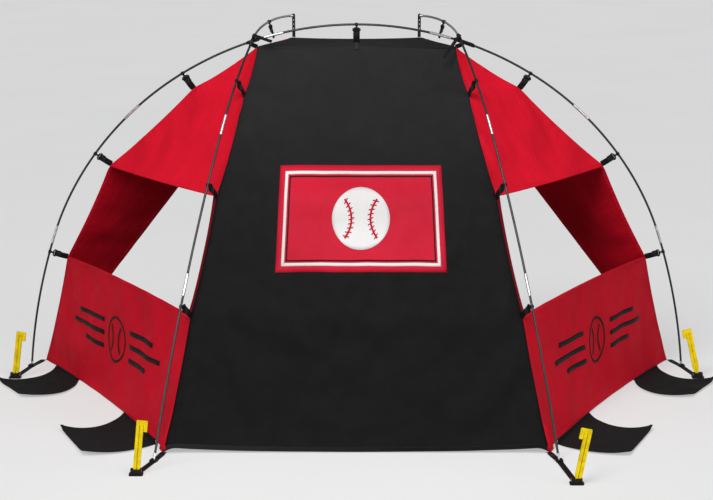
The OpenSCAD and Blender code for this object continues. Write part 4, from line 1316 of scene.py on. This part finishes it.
# the tie's inner end slants under the hub's sleeve to the cloth's corner
def tieSling(build, radius, mirrorSide):
    half = tie["slingWidth"] / 2
    high, low = (-tie["hubHalf"] - 0.001 - half, -radius), (0, -cloth["hubReach"] - 0.003)
    path = [(mixed(high[0], low[0], share), 0.0012 * math.sin(math.pi * share), mixed(high[1], low[1], share))
            for share in np.linspace(0, 1, 8)]
    ribbon(build, onSide(inPlace(hubFrame, path), mirrorSide), onSide(axisOf(hubFrame, 0), mirrorSide),
           tie["slingWidth"], tie["thickness"])


for side, mirrorSide in (("left", 1), ("right", -1)):
    build = newBuild()
    tieWrap(build, tie[side + "Wrap"], tie[side + "WrapRadius"], mirrorSide)
    tieSling(build, tie[side + "WrapRadius"], mirrorSide)
    if side == "left":
        tieEnd(build, tie["leftLength"], tie["leftAngle"], 1)
    piece = meshObject(side + "_tie_webbing", build)
    smoothed(finishPiece(piece, webbing, stands=[side + "_tie"]))
build = newBuild()
tieEnd(build, tie["rightLength"], tie["rightAngle"], -1)
piece = meshObject("tie_tail_webbing", build)
smoothed(finishPiece(piece, webbing, "tie_tail_body", ["tie_tail"]))

# corner tabs: webbing from the cloth's corners out over the foot straps
tab = {
    "thickness": 0.0016,
    "underCloth": 0.010,
    "share": 0.55,              # of the way from the cloth's corner to the pole's pin
    "boxAt": 0.045,
    "box": (0.018, 0.020),
    "threadLift": 0.0012,
}


def makeCornerTabs():
    bands, seams = newBuild(), newBuild()
    reach = feet["cornerToPin"] * tab["share"]
    for mirrorSide in (1, -1):
        for corner, heading in ((farCorner, feet["farTabHeading"]), (nearCorner, feet["nearTabHeading"])):
            way = onSide(headingDir(heading), mirrorSide)
            side = np.cross(way, [0, 0, 1])
            start = onSide(corner, mirrorSide) + [0, 0, feet["tabHeight"]]
            path = [start + way * run + np.array([0, 0, 0.0006 * math.sin(run * 90)])
                    for run in np.linspace(-tab["underCloth"], reach, 12)]
            ribbon(bands, path, side, feet["tabWidth"], tab["thickness"])
            threadBox(seams, start + way * tab["boxAt"], side, way, *tab["box"],
                      np.array([0, 0, tab["threadLift"]]))
    smoothed(finishPiece(meshObject("corner_tab_webbing", bands), webbing, stands=["corner_tabs"]))
    finishPiece(meshObject("corner_tab_stitches", seams), threadMaterial)


makeCornerTabs()

# a red patch over each near corner of the cloth, where the foot's tab is sewn on
cornerPatch = {
    "width": 0.062,
    "height": 0.110,
    "lift": 0.0024,
    "drop": 0.003,              # how far its foot hangs below the hem
}


def makeCornerPatch(side, mirrorSide):
    panel = panels[side + "_lower_panel"]
    seamLine = panel[::-1, -1]
    hemWay = unit((panel[-1, -4] - panel[-1, -1]) * [1, 1, 0])
    outward = unit(np.cross(seamLine[3] - seamLine[0], hemWay))
    outward = outward * (1 if np.dot(outward, seamLine[0] - heart) > 0 else -1)
    shares = np.linspace(0, 1, 9)
    rows = []
    for share, start in zip(shares, pointsAt(shares * cornerPatch["height"], runsAlong(seamLine), seamLine)):
        start = start + outward * cornerPatch["lift"] - [0, 0, cornerPatch["drop"] * (1 - share)]
        rows.append([start + hemWay * cornerPatch["width"] * across for across in np.linspace(0, 1, 5)])
    grid = np.array(rows)
    piece = sheetObject(side + "_corner_patch", grid, grid[:, :, 1:], mirrorSide < 0)
    thickened(piece, cloth["thickness"])
    finishPiece(piece, redCloth)


for side, mirrorSide in (("left", 1), ("right", -1)):
    makeCornerPatch(side, mirrorSide)
print("straps, ties and tabs made")

# ground flaps; start and width are shares of the side hem, and each edge has its own sweep back
flaps = {
    "far": {"start": 0.0757, "width": 0.176, "length": 0.325, "sweepFar": 0.150, "sweepNear": 0.166},
    "near": {"start": 0.621, "width": 0.300, "length": 0.303, "sweepFar": 0.154, "sweepNear": 0.060},
    "clear": 0.004,
    "seamHeight": 0.0022,       # at the sewn edge, close to the hinge's axis
    "lift": 0.0026,
    "riseRate": 3.5,            # the full lift is reached at one part in this of the way out
    "wave": 0.0050,
    "curl": 0.005,
    "tipCurl": 0.016,
    "across": 26,
    "out": 22,
    "hem": 0.013,
    "hemLift": 0.0007,
}
skirt = {
    "topOut": 0.0018,           # from the hem outward
    "topUp": 0.004,
    "footIn": 0.0028,           # from the flap's sewn edge inward
    "footUp": 0.0006,
    "underOut": 0.0040,         # how far it runs on under the flap
    "underUp": 0.0002,
}


def hemPoint(share):
    return mixed(farHem, nearHem, share) + inward * 4 * cloth["sideBow"] * share * (1 - share)


def flapGrid(which, mirrorSide):
    flap = flaps[which]
    a, b = hemPoint(flap["start"]), hemPoint(flap["start"] + flap["width"])
    along = unit((b - a) * [1, 1, 0])
    outward = np.array([along[1], -along[0], 0])
    corner = a * [1, 1, 0] + outward * flaps["clear"]
    wide = np.linalg.norm((b - a)[:2])
    grid = np.zeros((flaps["out"] + 1, flaps["across"] + 1, 3))
    for row in range(flaps["out"] + 1):
        out = row / flaps["out"]
        sweepBack = 3.4 * out * (1 - out) + out * out
        reach = flap["length"] * (0.8 * out * (1 - out) + out * out)
        for column in range(flaps["across"] + 1):
            share = column / flaps["across"]
            x = mixed(flap["sweepFar"] * sweepBack, wide + flap["sweepNear"] * sweepBack, share)
            point = corner + along * x + outward * reach
            seed = Vector((point[0] * 5 * mirrorSide, point[1] * 5, 3.0))
            wave = flaps["wave"] * (0.6 + out) * (0.5 + 0.5 * noise.noise(seed))
            edge = max(abs(2 * share - 1) ** 9, out ** 9)
            curl = flaps["curl"] * edge * (0.5 + 0.5 * noise.noise(seed * 0.6 + Vector((9, 0, 0))))
            tip = flaps["tipCurl"] * abs(2 * share - 1) ** 7 * out ** 7
            rise = min(1, out * flaps["riseRate"])
            point[2] = mixed(flaps["seamHeight"], flaps["lift"] + wave + curl, rise) + tip
            grid[row, column] = onSide(point, mirrorSide)
    return grid


# the cloth between a side hem and the inner edge of its flap
def flapSkirt(which, side, mirrorSide, flapEdge):
    hem = panels[side + "_lower_panel"][-1]
    shares = flaps[which]["start"] + flaps[which]["width"] * np.linspace(0, 1, flaps["across"] + 1)
    top = pointsAt(shares, sillShares, hem)
    outward = unit((flapEdge - top).mean(axis=0) * [1, 1, 0])
    top = top + outward * skirt["topOut"] + np.array([0, 0, skirt["topUp"]])
    foot = flapEdge * [1, 1, 0] - outward * skirt["footIn"] + [0, 0, skirt["footUp"]]
    under = flapEdge * [1, 1, 0] + outward * skirt["underOut"] + [0, 0, skirt["underUp"]]
    grid = np.array([mixed(top, foot, share) for share in (0, 0.3, 0.6, 0.85, 1.0)] + [under])
    piece = sheetObject(f"{which}_{side}_flap_skirt", grid, grid[:, :, :2], mirrorSide < 0)
    smoothed(piece)
    thickened(piece, cloth["thickness"])
    finishPiece(piece, flapCloth)


def makeFlap(side, which, mirrorSide):
    grid = flapGrid(which, mirrorSide)
    flapSkirt(which, side, mirrorSide, grid[0])
    piece = sheetObject(f"{which}_{side}_flap_cloth", grid, grid[:, :, :2], mirrorSide > 0)
    if sum(polygon.normal.z for polygon in piece.data.polygons) < 0:
        piece.data.flip_normals()
    smoothed(piece)
    thickened(piece, cloth["thickness"], offset=-1)
    body = f"{which}_{side}_flap_body"
    finishPiece(piece, flapCloth, body, [f"{which}_{side}_flap"])
    hems = newBuild()
    lift, t, w = flaps["hemLift"], cloth["thickness"], flaps["hem"]
    section = [(w, 0.0001), (w - 0.0008, lift), (0.0012, lift), (-0.0004, 0), (-0.0004, -t),
               (0.0012, -t - 0.0002), (w, -t - 0.0002)]
    for rim, inner in ((grid[:, 0], grid[:, 1]), (grid[:, -1], grid[:, -2]), (grid[-1], grid[-2])):
        along = tangents(rim)
        ways = squareTo(along, inner - rim)
        normals = np.cross(along, ways)
        normals = normals * np.where(normals[:, 2] < 0, -1, 1)[:, None]
        sweep(hems, rim, ways, normals, section)
    bands = finishPiece(meshObject(f"{which}_{side}_flap_hems", hems), flapHem, body)
    smoothed(bands)


for side, mirrorSide in (("left", 1), ("right", -1)):
    for which in ("far", "near"):
        makeFlap(side, which, mirrorSide)
print("flaps laid")

# finishes of the hard pieces, and a small rounding of their edges
finishes = {
    "arch_section": poleFibre,
    "leg_section": poleFibre,
    "visor_poles": visorPaintedHighlight,
    "ferrules": ferruleSteel,
    "shock_cord": elasticCord,
    "end_pins": ferruleSteel,
    "hub": blackPlastic,
    "hooks": blackPlastic,
    "visor_ladders": rubber,
    "foot_strap": rubber,
    "socket": blackPlastic,
    "peg": pegPlastic,
}
rounding = {"hooks": 0.0006, "_hub": 0.0005, "visor_ladders": 0.0006, "foot_strap": 0.0007,
            "socket": 0.0008, "peg": 0.0009}
for name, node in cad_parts.items():
    finish = next((material for ending, material in finishes.items() if ending in name), None)
    if finish is None or node.hide_render:
        continue
    node.data.materials.clear()
    node.data.materials.append(finish)
    edge = next((size for ending, size in rounding.items() if ending in name), None)
    if edge:
        modifier = node.modifiers.new("edges", "BEVEL")
        modifier.width = edge
        modifier.segments = 2
        modifier.limit_method = "ANGLE"
        modifier.angle_limit = math.radians(50)
print("hard pieces finished")

# floor, light and camera
studio = {
    "floorSeen": 0.42,          # the even part of the floor as the camera sees it
    "floorShaded": 0.40,        # the part that takes the light and the shadow
    "floorBounce": 0.34,        # what the floor throws back at the object
    "world": (0.90, 0.91, 0.92),
    "worldStrength": 0.32,
    "keyWay": (0.42, 0.72, -0.62),
    "keyStrength": 1.36,
    "keySpread": 24,
    "fillWay": (-0.75, 0.55, -0.30),
    "fillStrength": 0.86,
    "fillSpread": 40,
    "topPlace": (-0.2, -2.0, 3.5),
    "topAim": (0, 0.2, 1.3),
    "topSize": 1.8,
    "topPower": 70,
    "lens": 105.29,
    "cameraBack": 9.3308,       # from the feet's line to the camera
    "cameraHigh": 2.3355,
    "cameraTilt": 79.138,
}
bpy.ops.mesh.primitive_grid_add(x_subdivisions=8, y_subdivisions=8, size=160, location=(0, 0, 0))
floor = bpy.context.object
floor.name = "studio_floor"


# seen straight or in a reflection the floor is pale and even; what it throws back is darker
def makeFloorMaterial():
    material = bpy.data.materials.new("floorPaint")
    material.use_nodes = True
    tree = material.node_tree
    tree.nodes.remove(tree.nodes["Principled BSDF"])
    grain = speckle(material, objectPoint(material), 0.7, 3)
    shaded = addNode(material, "BsdfDiffuse", {"Color": shadeBetween(
        material, grain, (studio["floorShaded"] * 0.98,) * 3, (studio["floorShaded"] * 1.02,) * 3)})
    glow = addNode(material, "Emission", {"Strength": studio["floorSeen"]})
    seen = addNode(material, "AddShader", {0: shaded.outputs[0], 1: glow.outputs[0]})
    bounce = addNode(material, "BsdfDiffuse", {"Color": (*(studio["floorBounce"],) * 3, 1)})
    ray = addNode(material, "LightPath")
    straight = mathNode(material, "MAXIMUM", ray.outputs["Is Camera Ray"], mathNode(
        material, "MAXIMUM", ray.outputs["Is Glossy Ray"], ray.outputs["Is Transmission Ray"]))
    chosen = addNode(material, "MixShader", {"Fac": straight, 1: bounce.outputs[0], 2: seen.outputs[0]})
    tree.links.new(chosen.outputs[0], tree.nodes["Material Output"].inputs["Surface"])
    return material


floor.data.materials.append(makeFloorMaterial())

world = bpy.data.worlds.new("studio")
bpy.context.scene.world = world
world.use_nodes = True
background = world.node_tree.nodes["Background"]
background.inputs["Color"].default_value = (*studio["world"], 1)
background.inputs["Strength"].default_value = studio["worldStrength"]


def addLamp(name, kind, place, way, **settings):
    data = bpy.data.lights.new(name, kind)
    for label, value in settings.items():
        setattr(data, label, value)
    lamp = bpy.data.objects.new(name, data)
    lamp.location = place
    lamp.rotation_euler = Vector(way).to_track_quat("-Z", "Y").to_euler()
    bpy.context.scene.collection.objects.link(lamp)


for lampName in ("key", "fill"):
    addLamp(lampName, "SUN", (0, 0, 5), studio[lampName + "Way"], energy=studio[lampName + "Strength"],
            angle=math.radians(studio[lampName + "Spread"]))
addLamp("top", "AREA", studio["topPlace"], Vector(studio["topAim"]) - Vector(studio["topPlace"]),
        energy=studio["topPower"], size=studio["topSize"])
cameraData = bpy.data.cameras.new("camera")
cameraData.lens = studio["lens"]
cameraData.sensor_width = 36
cameraData.clip_end = 200
camera = bpy.data.objects.new("camera", cameraData)
camera.location = (0, toMiddle[1] - studio["cameraBack"], studio["cameraHigh"])
camera.rotation_euler = (math.radians(studio["cameraTilt"]), 0, 0)
bpy.context.scene.collection.objects.link(camera)
bpy.context.scene.camera = camera
bpy.context.scene.view_settings.view_transform = "Standard"
print("studio set")
